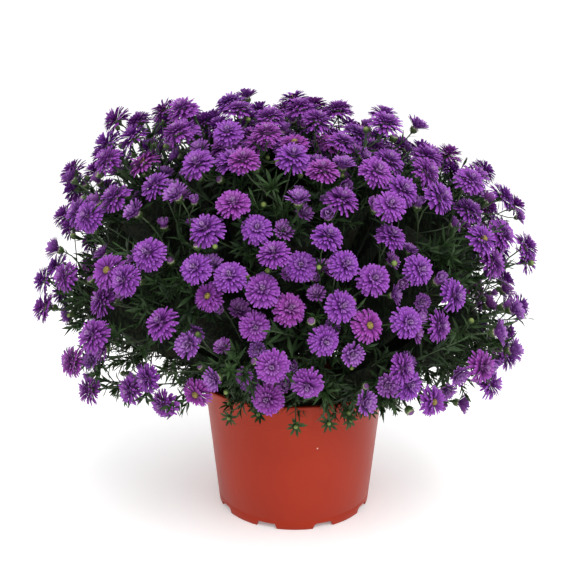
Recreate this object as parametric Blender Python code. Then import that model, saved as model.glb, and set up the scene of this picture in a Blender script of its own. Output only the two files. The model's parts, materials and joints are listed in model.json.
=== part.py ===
"""A potted aster: a dome of leafy flowering sprays standing in the soil of a round nursery pot.

Metres, +Z up. The origin is on the ground under the middle of the whole plant. The plant leans
a little over its pot, so the pot's axis stands beside the origin. The front looks along -Y.
"""

import math
import random

import bmesh
import bpy
import numpy as np
from mathutils import Matrix, Vector, noise

MM = 0.001
DEGREES = math.pi / 180
UP = np.array([0.0, 0.0, 1.0])

# Everything is laid out about the pot's axis, and every mesh is then moved to where that axis stands.
POT_AXIS = (8.5 * MM, -2.0 * MM, 0.0)

# The pot is a thin tapered wall with a stepped rim band and a lip, on a foot cut by notches.
POT_HEIGHT = 130 * MM
FOOT_RADIUS = 81.5 * MM
BAND_HEIGHT = 106 * MM
BAND_RADIUS = 93 * MM
BAND_STEP = 0.9 * MM
LIP_RADIUS = 98 * MM
LIP_DEPTH = 3 * MM
LIP_EDGE = 0.6 * MM
POT_WALL = 1.5 * MM
FLOOR_UNDERSIDE = 8 * MM
FOOT_WIDTH = 3.2 * MM
FEET = 9
NOTCH_WIDTH = 24 * MM
NOTCH_HEIGHT = 5 * MM
NOTCH_DEPTH = 12 * MM
NOTCH_TAPER = 0.74
DRAIN_HOLES = 6
DRAIN_RADIUS = 5 * MM
DRAIN_RING = 56 * MM
DRAIN_SIDES = 8
POT_SIDES = 36
FIT_GAP = 0.4 * MM

# The soil fills the pot to below its rim, and every stem stands in a hole of its own.
SOIL_TOP = 113 * MM
SOIL_LUMP = 2.2 * MM
SOIL_LUMPS_PER_METRE = 60
SOIL_RINGS = (0.88, 0.6, 0.3)
SOIL_EDGE_DROP = 2 * MM
SOIL_SIDES = 30
STEM_DEPTH = 10 * MM
HOLE_RADIUS = 2.4 * MM
HOLE_SPREAD = 60 * MM

# The plant is a dome, a little square in outline, fuller on one shoulder than on the other.
SPRAYS = 32
BLOOM_SLOTS = 350
SEED = 11
DOME_MID = 236 * MM
DOME_SHIFT = -6 * MM
FRONT_CROWDING = 0.05
TOP_CROWDING = 0.45
DOME_WIDE = 241 * MM
DOME_DEEP = 190 * MM
DOME_UP = 170 * MM
DOME_DOWN = 136 * MM
SQUARE_ABOVE = 2.6
SQUARE_BELOW = 2.8
DOME_EDGE = 119 * DEGREES
SPARSE_FROM = 106 * DEGREES
SPARSE_DROP = 10 * DEGREES
FULL_SHOULDER = ((-0.66, 0.0, 0.75), 24 * MM)
LOW_SHOULDER = ((0.62, 0.0, 0.78), -22 * MM)
SHOULDER_WIDTH = 24 * DEGREES
CENTRE = np.array([DOME_SHIFT, 0.0, DOME_MID])
GOLDEN_TURN = math.pi * (3 - math.sqrt(5))

# Blooms stand just under the dome's surface, no two touching, and face outward and upward.
BLOOM_DEPTHS = (3 * MM, 22 * MM)
PLACE_SPREAD = 0.035
PUSHES = 30
PUSH_SHARE = 0.45
FACED_FROM_BELOW = 20 * MM
FACE_RISE = 0.25
FACE_SPREAD = 0.16

# A bloom is a disc of petals over a green cup on its stalk.
FRONT_RADIUS = 12.4 * MM
BACK_RADIUS = 14.9 * MM
RADIUS_SHARES = (0.93, 1.07)
PETALS = 5
PETAL_NOTCH = 0.84
BLOOM_RISE = 7 * MM
BLOOM_BACK = 7 * MM
BLOOM_GAP = 1.2 * MM

# A stem rises straight from its hole and bends to its bloom. Side stalks fork from it at a slant.
STEM_RADII = (1.7 * MM, 1.2 * MM)
STEM_RISE = 4 * MM
STEM_LEAN = 0.42
STEM_LEAN_MOST = 0.72
STEM_BENDS = (0.4, 0.3)
STEM_STEPS = (0.22, 0.45, 0.66, 0.84, 1.0)
BRANCH_RADII = (0.65 * MM, 0.85 * MM)
BRANCH_SHORTEST = 14 * MM
BRANCH_SLANT = 1.15
STALK_SIDES = 3
POT_ROOM = 6 * MM
STEP = 2 * MM
POINTS_A_STEP = 8

# Some shoots end in a tuft of leaves: the lowest ones, and a few where their neighbours bloom.
TUFTS = ((-0.05, -0.86, 0.5), (-0.62, -0.35, 0.7), (0.3, 0.8, 0.5), (0.75, 0.3, 0.55))
TUFT_LEAVES = 5
TUFT_NOTCH = 0.24
TUFT_RADIUS = 16 * MM
TUFT_CUP = 7 * MM

# Deep in the dome the crowded twigs and old leaves of each spray close up into a dark core.
CORE_DEPTH = 30 * MM
CORE_ROOM = 1.2 * MM
CORE_SIDES = 6
CORE_SHARES = (0.78, 0.46, 0.17)
CORE_ENDS = (0.88, 0.11)
CORE_NARROWEST = 3 * MM
CORE_WIDEST = 54 * MM
CORE_UNEVEN = 0.2
CORE_OVER_RIM = 9 * MM

# Leaves are narrow blades that stand out of the core, between the flower stalks.
LEAVES_PER_SPRAY = 3
LEAF_BACKS = (0.2, 0.45)
LEAF_SLANTS = (0.15, 0.8)
LEAF_TIP_DEPTHS = (2 * MM, 24 * MM)
LEAF_WIDTH = 8 * MM
LEAF_THICKNESS = 2 * MM
LEAF_ROOM = 1.8 * MM
LEAF_SHORTEST = 20 * MM
LEAF_FACING = 120 * MM
LEAF_TRIES = 150


def unit(v):
    return np.asarray(v, float) / np.linalg.norm(v)


def clear_scene():
    for thing in list(bpy.data.objects):
        bpy.data.objects.remove(thing)


def make_material(name, colour, roughness):
    material = bpy.data.materials.new(name)
    material.use_nodes = True
    shader = material.node_tree.nodes["Principled BSDF"]
    shader.inputs["Base Color"].default_value = (*colour, 1)
    shader.inputs["Roughness"].default_value = roughness
    shader.inputs["Metallic"].default_value = 0
    material.diffuse_color = (*colour, 1)
    return material


def finish_object(name, bm, *materials):
    """A mesh laid out about the pot's axis becomes an object, moved to where the axis stands."""
    bmesh.ops.translate(bm, vec=POT_AXIS, verts=bm.verts)
    mesh = bpy.data.meshes.new(name)
    bm.to_mesh(mesh)
    bm.free()
    for material in materials:
        mesh.materials.append(material)
    thing = bpy.data.objects.new(name, mesh)
    bpy.context.scene.collection.objects.link(thing)
    return thing


# Layout of the plant


def aim_at(polar, turn):
    side = math.sin(polar)
    return np.array([side * math.cos(turn), side * math.sin(turn), math.cos(polar)])


def swell_towards(direction, shoulder):
    towards, height = shoulder
    cosine = float(np.clip(direction @ unit(towards), -1, 1))
    return height * math.exp(-((math.acos(cosine) / SHOULDER_WIDTH) ** 2))


def dome_reach(direction):
    """How far the dome's surface lies from its middle in a direction."""
    high = direction[2] > 0
    half = (DOME_WIDE, DOME_DEEP, DOME_UP if high else DOME_DOWN)
    square = SQUARE_ABOVE if high else SQUARE_BELOW
    total = sum(abs(d / h) ** square for d, h in zip(direction, half))
    bulge = swell_towards(direction, FULL_SHOULDER) + swell_towards(direction, LOW_SHOULDER)
    return total ** (-1 / square) + bulge


def depth_in_dome(point):
    away = point - CENTRE
    far = np.linalg.norm(away)
    return dome_reach(away / far) - far


def spiral_place(i, count):
    """One place on a sunflower spiral: its share of the dome's area, polar angle and turn.

    The places lie closer together at the top, the front and the back than at the sides.
    """
    share = (i + 0.5) / count
    share *= 1 - TOP_CROWDING * (1 - share)
    polar = math.acos(1 - share * (1 - math.cos(DOME_EDGE)))
    turn = i * GOLDEN_TURN
    return share, polar, turn + FRONT_CROWDING * math.sin(2 * turn)


def scatter_blooms(rng):
    blooms = []
    for i in range(BLOOM_SLOTS):
        _, polar, turn = spiral_place(i, BLOOM_SLOTS)
        low = polar > SPARSE_FROM + SPARSE_DROP * max(0.0, -math.sin(turn))
        polar += rng.gauss(0, PLACE_SPREAD)
        turn += rng.gauss(0, PLACE_SPREAD) / max(0.2, math.sin(polar))
        direction = aim_at(polar, turn)
        front = max(0.0, -direction[1])
        radius = BACK_RADIUS + (FRONT_RADIUS - BACK_RADIUS) * front
        radius *= rng.uniform(*RADIUS_SHARES)
        place = CENTRE + direction * (dome_reach(direction) - rng.uniform(*BLOOM_DEPTHS))
        blooms.append({"place": place, "radius": radius, "tuft": low and i % 2 == 1})
    return blooms


def push_apart(blooms):
    """Moves blooms away from each other until no two touch."""
    places = np.array([bloom["place"] for bloom in blooms])
    radii = np.array([bloom["radius"] for bloom in blooms])
    wanted = radii[:, None] + radii[None, :] + BLOOM_GAP
    np.fill_diagonal(wanted, 0.0)
    for _ in range(PUSHES):
        between = places[:, None] - places[None, :]
        far = np.linalg.norm(between, axis=2) + np.eye(len(blooms))
        short = np.clip(wanted - far, 0, None) * PUSH_SHARE
        places = places + (between / far[..., None] * short[..., None]).sum(axis=1)
    for bloom, place in zip(blooms, places):
        bloom["place"] = place


def face_bloom(bloom, rng):
    outward = unit(bloom["place"] - CENTRE + UP * FACED_FROM_BELOW)
    lean = np.array([rng.gauss(0, FACE_SPREAD) for _ in range(3)])
    bloom["face"] = unit(outward + lean + UP * FACE_RISE)
    bloom["base"] = bloom["place"] - bloom["face"] * BLOOM_BACK


def mark_tufts(blooms):
    aims = np.array([unit(bloom["place"] - CENTRE) for bloom in blooms])
    for towards in TUFTS:
        blooms[int(np.argmax(aims @ unit(towards)))]["tuft"] = True


def stem_line(hole, bloom, polar):
    """A stem's points: straight up through its hole, then one smooth bend to its bloom."""
    base = bloom["base"]
    outward = unit([base[0], base[1], 1e-9])
    start = hole + UP * STEM_RISE
    reach = np.linalg.norm(base - start)
    lean = unit(UP + outward * math.tan(min(polar * STEM_LEAN, STEM_LEAN_MOST)))
    leave = start + lean * reach * STEM_BENDS[0]
    arrive = base - unit(bloom["face"] + outward * 0.3) * reach * STEM_BENDS[1]
    points = [hole - UP * STEM_DEPTH, start]
    for t in STEM_STEPS:
        s = 1 - t
        points.append(s**3 * start + 3 * s * s * t * leave + 3 * s * t * t * arrive + t**3 * base)
    return points


def back_along(line, distance):
    """The point of a line that lies a distance back from its tip."""
    for lower, upper in zip(line[-2::-1], line[:0:-1]):
        step = np.linalg.norm(upper - lower)
        if distance <= step:
            return upper + (lower - upper) * (distance / step)
        distance -= step
    return line[0]


def hits_pot(point, room):
    wide = math.hypot(point[0], point[1])
    if wide < FOOT_RADIUS:
        return point[2] < SOIL_TOP + 2 * room
    return wide < LIP_RADIUS + 3 * room and point[2] < POT_HEIGHT + room


def line_length(line):
    return sum(float(np.linalg.norm(upper - lower)) for lower, upper in zip(line, line[1:]))


def branch_line(stem, bloom):
    """A side stalk leaves the stem low enough to reach its bloom at a slant, but clear of the pot."""
    tip_aim = unit(stem[-1] - stem[-2])
    offset = bloom["base"] - stem[-1]
    ahead = float(offset @ tip_aim)
    aside = math.sqrt(max(0.0, float(offset @ offset) - ahead * ahead))
    back = max(BRANCH_SHORTEST, aside * BRANCH_SLANT - ahead)
    line = [back_along(stem, back), bloom["base"]]
    while back > BRANCH_SHORTEST and any(hits_pot(point, POT_ROOM) for point in np.linspace(*line, 20)):
        back -= 2 * STEP
        line[0] = back_along(stem, back)
    return line


def stalk_points(lines):
    """Points every few millimetres along each line of a list, and which line each is on."""
    points, owners = [], []
    for k, line in enumerate(lines):
        for lower, upper in zip(line, line[1:]):
            for share in np.arange(POINTS_A_STEP) / POINTS_A_STEP:
                points.append(lower + share * (upper - lower))
                owners.append(k)
    return np.array(points), np.array(owners)


def own_ground(point, k, points, owners):
    """How much nearer a point is to its own stem than to any other spray's."""
    far = np.linalg.norm(points - point, axis=1)
    return float(far[owners != k].min() - far[owners == k].min())


def core_reach(middle, towards, k, points, owners):
    """How far a core may swell in one direction before it leaves its spray's own ground."""
    reach = CORE_NARROWEST
    while reach < CORE_WIDEST:
        point = middle + towards * (reach + STEP)
        if own_ground(point, k, points, owners) < 2 * CORE_ROOM or depth_in_dome(point) < CORE_DEPTH:
            break
        if hits_pot(point, CORE_OVER_RIM):
            break
        reach += STEP
    return reach


def core_rings(k, stem, points, owners):
    """The corners of a core, ring by ring from its lower end to its upper one."""
    rng = random.Random(SEED * 10 + k)
    rings = []
    for share in CORE_SHARES:
        back = share * line_length(stem)
        middle = back_along(stem, back)
        ahead = unit(back_along(stem, back - 5 * MM) - middle)
        across = unit(np.cross(ahead, [0.3, 0.2, 0.93]))
        other = np.cross(ahead, across)
        ring = []
        for n in range(CORE_SIDES):
            turn = (n + rng.uniform(-CORE_UNEVEN, CORE_UNEVEN)) * 2 * math.pi / CORE_SIDES
            towards = across * math.cos(turn) + other * math.sin(turn)
            reach = core_reach(middle, towards, k, points, owners)
            ring.append(middle + towards * reach * rng.uniform(1 - CORE_UNEVEN, 1))
        rings.append(ring)
    return rings


def lay_out_blooms():
    rng = random.Random(SEED)
    blooms = scatter_blooms(rng)
    push_apart(blooms)
    for bloom in blooms:
        face_bloom(bloom, rng)
    mark_tufts(blooms)
    return blooms


def share_out(blooms, aims):
    """Each bloom goes to the nearest aim. Every share starts with its most central bloom."""
    owned = [[] for _ in aims]
    for bloom in blooms:
        nearness = np.array(aims) @ unit(bloom["place"] - CENTRE)
        owned[int(np.argmax(nearness))].append((-float(nearness.max()), bloom))
    return [[bloom for _, bloom in sorted(mine, key=lambda pair: pair[0])] for mine in owned]


def lay_out_sprays():
    """Every spray with its hole, stem, side stalks and blooms. The first bloom is the stem's own."""
    places = [spiral_place(k, SPRAYS) for k in range(SPRAYS)]
    shares = share_out(lay_out_blooms(), [aim_at(polar, turn) for _, polar, turn in places])
    sprays = []
    for (share, polar, turn), mine in zip(places, shares):
        across = HOLE_SPREAD * math.sqrt(share)
        hole = np.array([across * math.cos(turn), across * math.sin(turn), SOIL_TOP])
        stem = stem_line(hole, mine[0], polar)
        lines = [stem] + [branch_line(stem, bloom) for bloom in mine[1:]]
        sprays.append({"hole": hole, "blooms": mine, "lines": lines, "leaves": []})
    points, owners = stalk_points([spray["lines"][0] for spray in sprays])
    for k, spray in enumerate(sprays):
        spray["core"] = core_rings(k, spray["lines"][0], points, owners)
    return sprays


class Crowd:
    """What the leaves have to keep clear of: stalks, blooms, other leaves and the pot's rim."""

    def __init__(self, sprays):
        stalks = [
            (lower, upper, k, n)
            for k, spray in enumerate(sprays)
            for n, line in enumerate(spray["lines"])
            for lower, upper in zip(line, line[1:])
        ]
        blooms = [bloom for spray in sprays for bloom in spray["blooms"]]
        self.lower = np.array([stalk[0] for stalk in stalks])
        self.run = np.array([stalk[1] - stalk[0] for stalk in stalks])
        self.owner = np.array([stalk[2:] for stalk in stalks])
        self.places = np.array([bloom["place"] for bloom in blooms])
        self.faces = np.array([bloom["face"] for bloom in blooms])
        self.radii = np.array([bloom["radius"] for bloom in blooms])
        self.leaves = np.zeros((0, 3))
        self.stems = stalk_points([spray["lines"][0] for spray in sprays])

    def stalk_room(self, points, k):
        """The least distance from points to every stalk but the k-th spray's own stem."""
        others = (self.owner != (k, 0)).any(axis=1)
        lower, run = self.lower[others], self.run[others]
        away = points[:, None] - lower[None]
        share = np.clip((away * run).sum(axis=2) / (run * run).sum(axis=1), 0, 1)
        return float(np.linalg.norm(away - share[..., None] * run, axis=2).min())

    def in_bloom(self, points):
        away = points[:, None] - self.places[None]
        high = (away * self.faces).sum(axis=2)
        wide = np.linalg.norm(away - high[..., None] * self.faces, axis=2)
        level = (high > -BLOOM_BACK - LEAF_ROOM) & (high < TUFT_CUP + LEAF_ROOM)
        reach = self.radii * np.clip(1 + high / (1.3 * BLOOM_BACK), 0.3, 1)
        return bool((level & (wide < reach + LEAF_ROOM)).any())

    def near_leaf(self, points):
        if not len(self.leaves):
            return False
        between = points[:, None] - self.leaves[None]
        return np.linalg.norm(between, axis=2).min() < LEAF_WIDTH / 2 + LEAF_ROOM

    def takes(self, points, k):
        """True if a leaf of the k-th spray with its middle line at points fits in beside the rest."""
        depths = np.array([depth_in_dome(point) for point in points])
        shell = points[depths < CORE_DEPTH]
        inside = points[depths >= CORE_DEPTH][2:]
        if any(hits_pot(point, POT_ROOM) for point in points[2:]):
            return False
        if any(own_ground(point, k, *self.stems) < LEAF_WIDTH for point in inside):
            return False
        if self.in_bloom(shell) or self.near_leaf(shell) or self.stalk_room(shell, k) < 2 * LEAF_ROOM:
            return False
        self.leaves = np.vstack([self.leaves, shell])
        return True


def slanted(stalk_aim, slant, rng):
    """A random direction at a slant from a stalk."""
    aside = unit(np.cross(stalk_aim, aim_at(rng.uniform(0.3, 2.8), rng.uniform(0, 2 * math.pi))))
    return unit(stalk_aim * math.cos(slant) + aside * math.sin(slant))


def leaf_line(stem, rng):
    """The middle line of a leaf that runs from the stem out to a little below the dome's surface."""
    back = rng.uniform(*LEAF_BACKS) * line_length(stem)
    root = back_along(stem, back)
    stem_aim = unit(back_along(stem, back - 2 * STEP) - root)
    direction = slanted(stem_aim, rng.uniform(*LEAF_SLANTS), rng)
    tip_depth = rng.uniform(*LEAF_TIP_DEPTHS)
    length = LEAF_SHORTEST
    while depth_in_dome(root + direction * length) > tip_depth:
        length += STEP
    return root + np.linspace(0, 1, 21)[:, None] * length * direction


def add_leaves(k, spray, crowd):
    rng = random.Random(SEED * 100 + k)
    for _ in range(LEAF_TRIES):
        points = leaf_line(spray["lines"][0], rng)
        if crowd.takes(points, k):
            spray["leaves"].append((points[0], points[-1]))
        if len(spray["leaves"]) == LEAVES_PER_SPRAY:
            break


def lay_out_plant():
    sprays = lay_out_sprays()
    crowd = Crowd(sprays)
    for k, spray in enumerate(sprays):
        add_leaves(k, spray, crowd)
    return sprays


# Meshes of one spray


def frame_at(place, towards, across=None):
    """A matrix whose origin is place and whose Z points towards."""
    z = Vector(towards).normalized()
    helper = Vector(across) if across is not None else Vector((0.31, 0.17, 0.94))
    if abs(z.dot(helper.normalized())) > 0.97:
        helper = Vector((0.9, 0.1, 0.2))
    x = helper.cross(z).normalized()
    turn = Matrix((x, z.cross(x), z)).transposed()
    return Matrix.Translation(Vector(place)) @ turn.to_4x4()


def ring_frames(line):
    """One frame for each point of a line, square to the line there."""
    steps = [unit(upper - lower) for lower, upper in zip(line, line[1:])]
    aims = [steps[0]] + [unit(a + b) for a, b in zip(steps, steps[1:])] + [steps[-1]]
    frames = [frame_at(line[0], aims[0], (1, 0, 0))]
    for place, towards in zip(line[1:], aims[1:]):
        turn = frames[-1].to_quaternion()
        swing = (turn @ Vector((0, 0, 1))).rotation_difference(Vector(towards))
        frames.append(Matrix.Translation(Vector(place)) @ (swing @ turn).to_matrix().to_4x4())
    return frames


def add_stalk(bm, line, radii, sides):
    """A tapered stalk along a line. Returns the face at its tip."""
    frames = ring_frames(line)
    bmesh.ops.create_circle(bm, cap_ends=True, segments=sides, radius=radii[0], matrix=frames[0])
    tip = next(iter(bm.faces))
    for n, (before, after) in enumerate(zip(frames, frames[1:])):
        if n == 0:
            made = bmesh.ops.extrude_face_region(bm, geom=[tip])["geom"]
            tip = next(part for part in made if isinstance(part, bmesh.types.BMFace))
        else:
            tip = bmesh.ops.extrude_discrete_faces(bm, faces=[tip])["faces"][0]
        widths = [np.interp(m, [0, len(frames) - 1], radii) for m in (n, n + 1)]
        scale = Matrix.Scale(widths[1] / widths[0], 4)
        bmesh.ops.transform(bm, matrix=after @ scale @ before.inverted(), verts=tip.verts)
    return tip


def add_star(bm, bloom, tip):
    """A star of petals or of a tuft's leaves, whose underside runs back to the stalk's tip."""
    tuft = bloom["tuft"]
    count, notch = (TUFT_LEAVES, TUFT_NOTCH) if tuft else (PETALS, PETAL_NOTCH)
    radius = TUFT_RADIUS if tuft else bloom["radius"]
    frame = frame_at(bloom["place"], bloom["face"])
    star = bmesh.ops.create_circle(
        bm, cap_ends=True, cap_tris=True, segments=2 * count, radius=radius, matrix=frame
    )["verts"]
    centre = max(star, key=lambda v: len(v.link_edges))
    rim = [v for v in star if v is not centre]
    face, middle = Vector(bloom["face"]), Vector(bloom["place"])
    centre.co += face * (0 if tuft else BLOOM_RISE)
    for v in rim[::2]:
        v.co = middle + (v.co - middle) * notch
    for v in rim[1::2]:
        v.co += face * (TUFT_CUP if tuft else 0)
    rim_edges = [edge for edge in set(e for v in rim for e in v.link_edges) if centre not in edge.verts]
    tip_edges = list(tip.edges)
    bmesh.ops.delete(bm, geom=[tip], context="FACES_ONLY")
    bmesh.ops.bridge_loops(bm, edges=rim_edges + tip_edges)
    for face in set(face for v in star for face in v.link_faces):
        face.material_index = 0 if tuft else 1


def make_stalk(name, line, radii, bloom, materials):
    bm = bmesh.new()
    add_star(bm, bloom, add_stalk(bm, line, radii, STALK_SIDES))
    bmesh.ops.recalc_face_normals(bm, faces=bm.faces)
    return finish_object(name, bm, *materials)


def make_leaf(name, root, tip, materials):
    """A three-sided blade, wide at its sunk root and drawn out to its tip."""
    bm = bmesh.new()
    bmesh.ops.create_cone(bm, cap_ends=True, segments=3, radius1=1, radius2=0, depth=1)
    length = float(np.linalg.norm(tip - root))
    frame = frame_at(root, tip - root, unit(root - CENTRE + UP * LEAF_FACING))
    shape = Matrix.Diagonal((LEAF_WIDTH / math.sqrt(3), LEAF_THICKNESS / 1.5, length, 1))
    shape = shape @ Matrix.Translation((0, 0, 0.5))
    bmesh.ops.transform(bm, matrix=frame @ shape, verts=bm.verts)
    return finish_object(name, bm, *materials)


def make_core(name, stem, rings, materials):
    """A faceted body round the stem, from one ring of corners to the next."""
    bm = bmesh.new()
    bmesh.ops.create_uvsphere(bm, u_segments=CORE_SIDES, v_segments=len(rings) + 1, radius=1)
    poles = sorted(bm.verts, key=lambda v: v.co.z)
    for pole, share in zip((poles[0], poles[-1]), CORE_ENDS):
        pole.co = Vector(back_along(stem, share * line_length(stem)))
    for n, ring in enumerate(rings):
        level = poles[1 + n * CORE_SIDES : 1 + (n + 1) * CORE_SIDES]
        level.sort(key=lambda v: math.atan2(v.co.y, v.co.x))
        for v, corner in zip(level, ring):
            v.co = Vector(corner)
    bmesh.ops.triangulate(bm, faces=bm.faces)
    bmesh.ops.recalc_face_normals(bm, faces=bm.faces)
    return finish_object(name, bm, *materials)


def join_parts(name, body, parts):
    """One Boolean union of a spray's stem with its stalks and leaves."""
    group = bpy.data.collections.new(name + "_parts")
    bpy.context.scene.collection.children.link(group)
    for part in parts:
        bpy.context.scene.collection.objects.unlink(part)
        group.objects.link(part)
    union = body.modifiers.new("union", "BOOLEAN")
    union.operation = "UNION"
    union.operand_type = "COLLECTION"
    union.collection = group
    union.solver = "EXACT"
    graph = bpy.context.evaluated_depsgraph_get()
    joined = bpy.data.meshes.new_from_object(body.evaluated_get(graph))
    body.modifiers.clear()
    body.data = joined
    joined.name = name
    for part in parts:
        bpy.data.objects.remove(part)
    bpy.data.collections.remove(group)


def make_spray(name, spray, materials):
    lines, blooms = spray["lines"], spray["blooms"]
    body = make_stalk(name, lines[0], STEM_RADII, blooms[0], materials)
    parts = [
        make_stalk(f"{name}_branch_{n}", line, BRANCH_RADII, bloom, materials)
        for n, (line, bloom) in enumerate(zip(lines[1:], blooms[1:]))
    ]
    parts.append(make_core(f"{name}_core", lines[0], spray["core"], materials))
    parts += [make_leaf(f"{name}_leaf_{n}", *leaf, materials) for n, leaf in enumerate(spray["leaves"])]
    join_parts(name, body, parts)
    return body


# Pot and soil


def wall_radius(height):
    """The outer radius of the pot's wall, below its band's step, at a height."""
    return FOOT_RADIUS + (BAND_RADIUS - FOOT_RADIUS) * height / BAND_HEIGHT


def inner_radius(height):
    return wall_radius(height) - POT_WALL


def spin_profile(name, points, sides, material):
    """A turned body from its outline, which runs from the axis round to the axis."""
    bm = bmesh.new()
    verts = [bm.verts.new((r, 0, z)) for r, z in points]
    edges = [bm.edges.new(pair) for pair in zip(verts, verts[1:])]
    bmesh.ops.spin(
        bm, geom=verts + edges, cent=(0, 0, 0), axis=(0, 0, 1), angle=2 * math.pi, steps=sides, use_merge=True
    )
    bmesh.ops.remove_doubles(bm, verts=bm.verts, dist=0.001 * MM)
    bmesh.ops.recalc_face_normals(bm, faces=bm.faces)
    return finish_object(name, bm, material)


def pot_outline():
    floor_top = FLOOR_UNDERSIDE + POT_WALL
    band_foot = BAND_HEIGHT + BAND_STEP
    lip_foot = POT_HEIGHT - LIP_DEPTH
    return [
        (0, FLOOR_UNDERSIDE),
        (FOOT_RADIUS - FOOT_WIDTH, FLOOR_UNDERSIDE),
        (FOOT_RADIUS - FOOT_WIDTH, 0),
        (FOOT_RADIUS, 0),
        (BAND_RADIUS, BAND_HEIGHT),
        (wall_radius(band_foot) + BAND_STEP, band_foot),
        (wall_radius(lip_foot) + BAND_STEP, lip_foot),
        (LIP_RADIUS, lip_foot + LIP_EDGE),
        (LIP_RADIUS, POT_HEIGHT - LIP_EDGE),
        (LIP_RADIUS - LIP_EDGE, POT_HEIGHT),
        (inner_radius(POT_HEIGHT), POT_HEIGHT),
        (inner_radius(floor_top), floor_top),
        (0, floor_top),
    ]


def make_notch_cutter():
    """Blocks with slanted sides, one through the foot between each two feet."""
    bm = bmesh.new()
    for n in range(FEET):
        turn = Matrix.Rotation((n + 0.5) * 2 * math.pi / FEET - math.pi / 2, 4, "Z")
        size = (NOTCH_DEPTH, NOTCH_WIDTH, 2 * NOTCH_HEIGHT)
        place = turn @ Matrix.Translation((FOOT_RADIUS, 0, 0)) @ Matrix.Diagonal((*size, 1))
        for v in bmesh.ops.create_cube(bm, size=1)["verts"]:
            if v.co.z > 0:
                v.co.y *= NOTCH_TAPER
            v.co = place @ v.co
    return hide_cutter(finish_object("notch_cutter", bm))


def make_prism_cutter(name, places, radius, low, high, sides):
    bm = bmesh.new()
    for x, y in places:
        middle = Matrix.Translation((x, y, (low + high) / 2)) @ Matrix.Rotation(-math.pi / 2, 4, "Z")
        bmesh.ops.create_cone(
            bm, cap_ends=True, segments=sides, radius1=radius, radius2=radius, depth=high - low, matrix=middle
        )
    return hide_cutter(finish_object(name, bm))


def hide_cutter(cutter):
    cutter.hide_render = True
    cutter.display_type = "WIRE"
    return cutter


def cut(thing, cutter):
    modifier = thing.modifiers.new(cutter.name, "BOOLEAN")
    modifier.operation = "DIFFERENCE"
    modifier.object = cutter


def make_pot(material):
    pot = spin_profile("pot", pot_outline(), POT_SIDES, material)
    cut(pot, make_notch_cutter())
    turns = [n * 2 * math.pi / DRAIN_HOLES for n in range(DRAIN_HOLES)]
    places = [(DRAIN_RING * math.cos(turn), DRAIN_RING * math.sin(turn)) for turn in turns]
    high = 2 * FLOOR_UNDERSIDE
    cut(pot, make_prism_cutter("drain_cutter", places, DRAIN_RADIUS, 0, high, DRAIN_SIDES))
    return pot


def soil_outline():
    low = FLOOR_UNDERSIDE + POT_WALL + FIT_GAP
    edge = SOIL_TOP - SOIL_EDGE_DROP
    flat = math.cos(math.pi / POT_SIDES)
    side = inner_radius(low) * flat - FIT_GAP
    top = inner_radius(edge) * flat - FIT_GAP
    rings = [(top * share, SOIL_TOP) for share in SOIL_RINGS]
    return [(0, low), (side, low), (top, edge)] + rings + [(0, SOIL_TOP)]


def make_soil(material, sprays):
    soil = spin_profile("soil", soil_outline(), SOIL_SIDES, material)
    for v in soil.data.vertices:
        if v.co.z > SOIL_TOP - SOIL_EDGE_DROP / 2:
            v.co.z += SOIL_LUMP * noise.noise(v.co * SOIL_LUMPS_PER_METRE)
    places = [spray["hole"][:2] for spray in sprays]
    low, high = SOIL_TOP - STEM_DEPTH - FIT_GAP, SOIL_TOP + 3 * SOIL_LUMP
    cut(soil, make_prism_cutter("hole_cutter", places, HOLE_RADIUS, low, high, STALK_SIDES))
    return soil


def main():
    clear_scene()
    terracotta = make_material("terracotta_plastic", (0.39, 0.045, 0.022), 0.42)
    earth = make_material("dark_soil", (0.05, 0.035, 0.025), 0.95)
    green = make_material("leaf_green", (0.045, 0.085, 0.03), 0.6)
    purple = make_material("petal_purple", (0.25, 0.07, 0.36), 0.6)
    sprays = lay_out_plant()
    make_pot(terracotta)
    make_soil(earth, sprays)
    for k, spray in enumerate(sprays):
        make_spray(f"spray_{k + 1:02d}", spray, [green, purple])
    print("blooms", sum(len(spray["blooms"]) for spray in sprays))
    print("leaves", sum(len(spray["leaves"]) for spray in sprays))


main()
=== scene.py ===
# %% [markdown]
# # A potted aster
# A bushy aster in full flower stands in the soil of a terracotta-coloured plastic pot.
# The CAD model under it has plain stars for blooms and wedges for leafy shoots. This lesson
# dresses every spray with real petals, leaves and buds in the same places, so that the outline,
# the weight and the places of the plant stay those of the solids.

# %% Load the CAD model as the frame
import json
import math
import random

import bmesh
import bpy
import numpy as np
from mathutils import Matrix, Vector, noise

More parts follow.
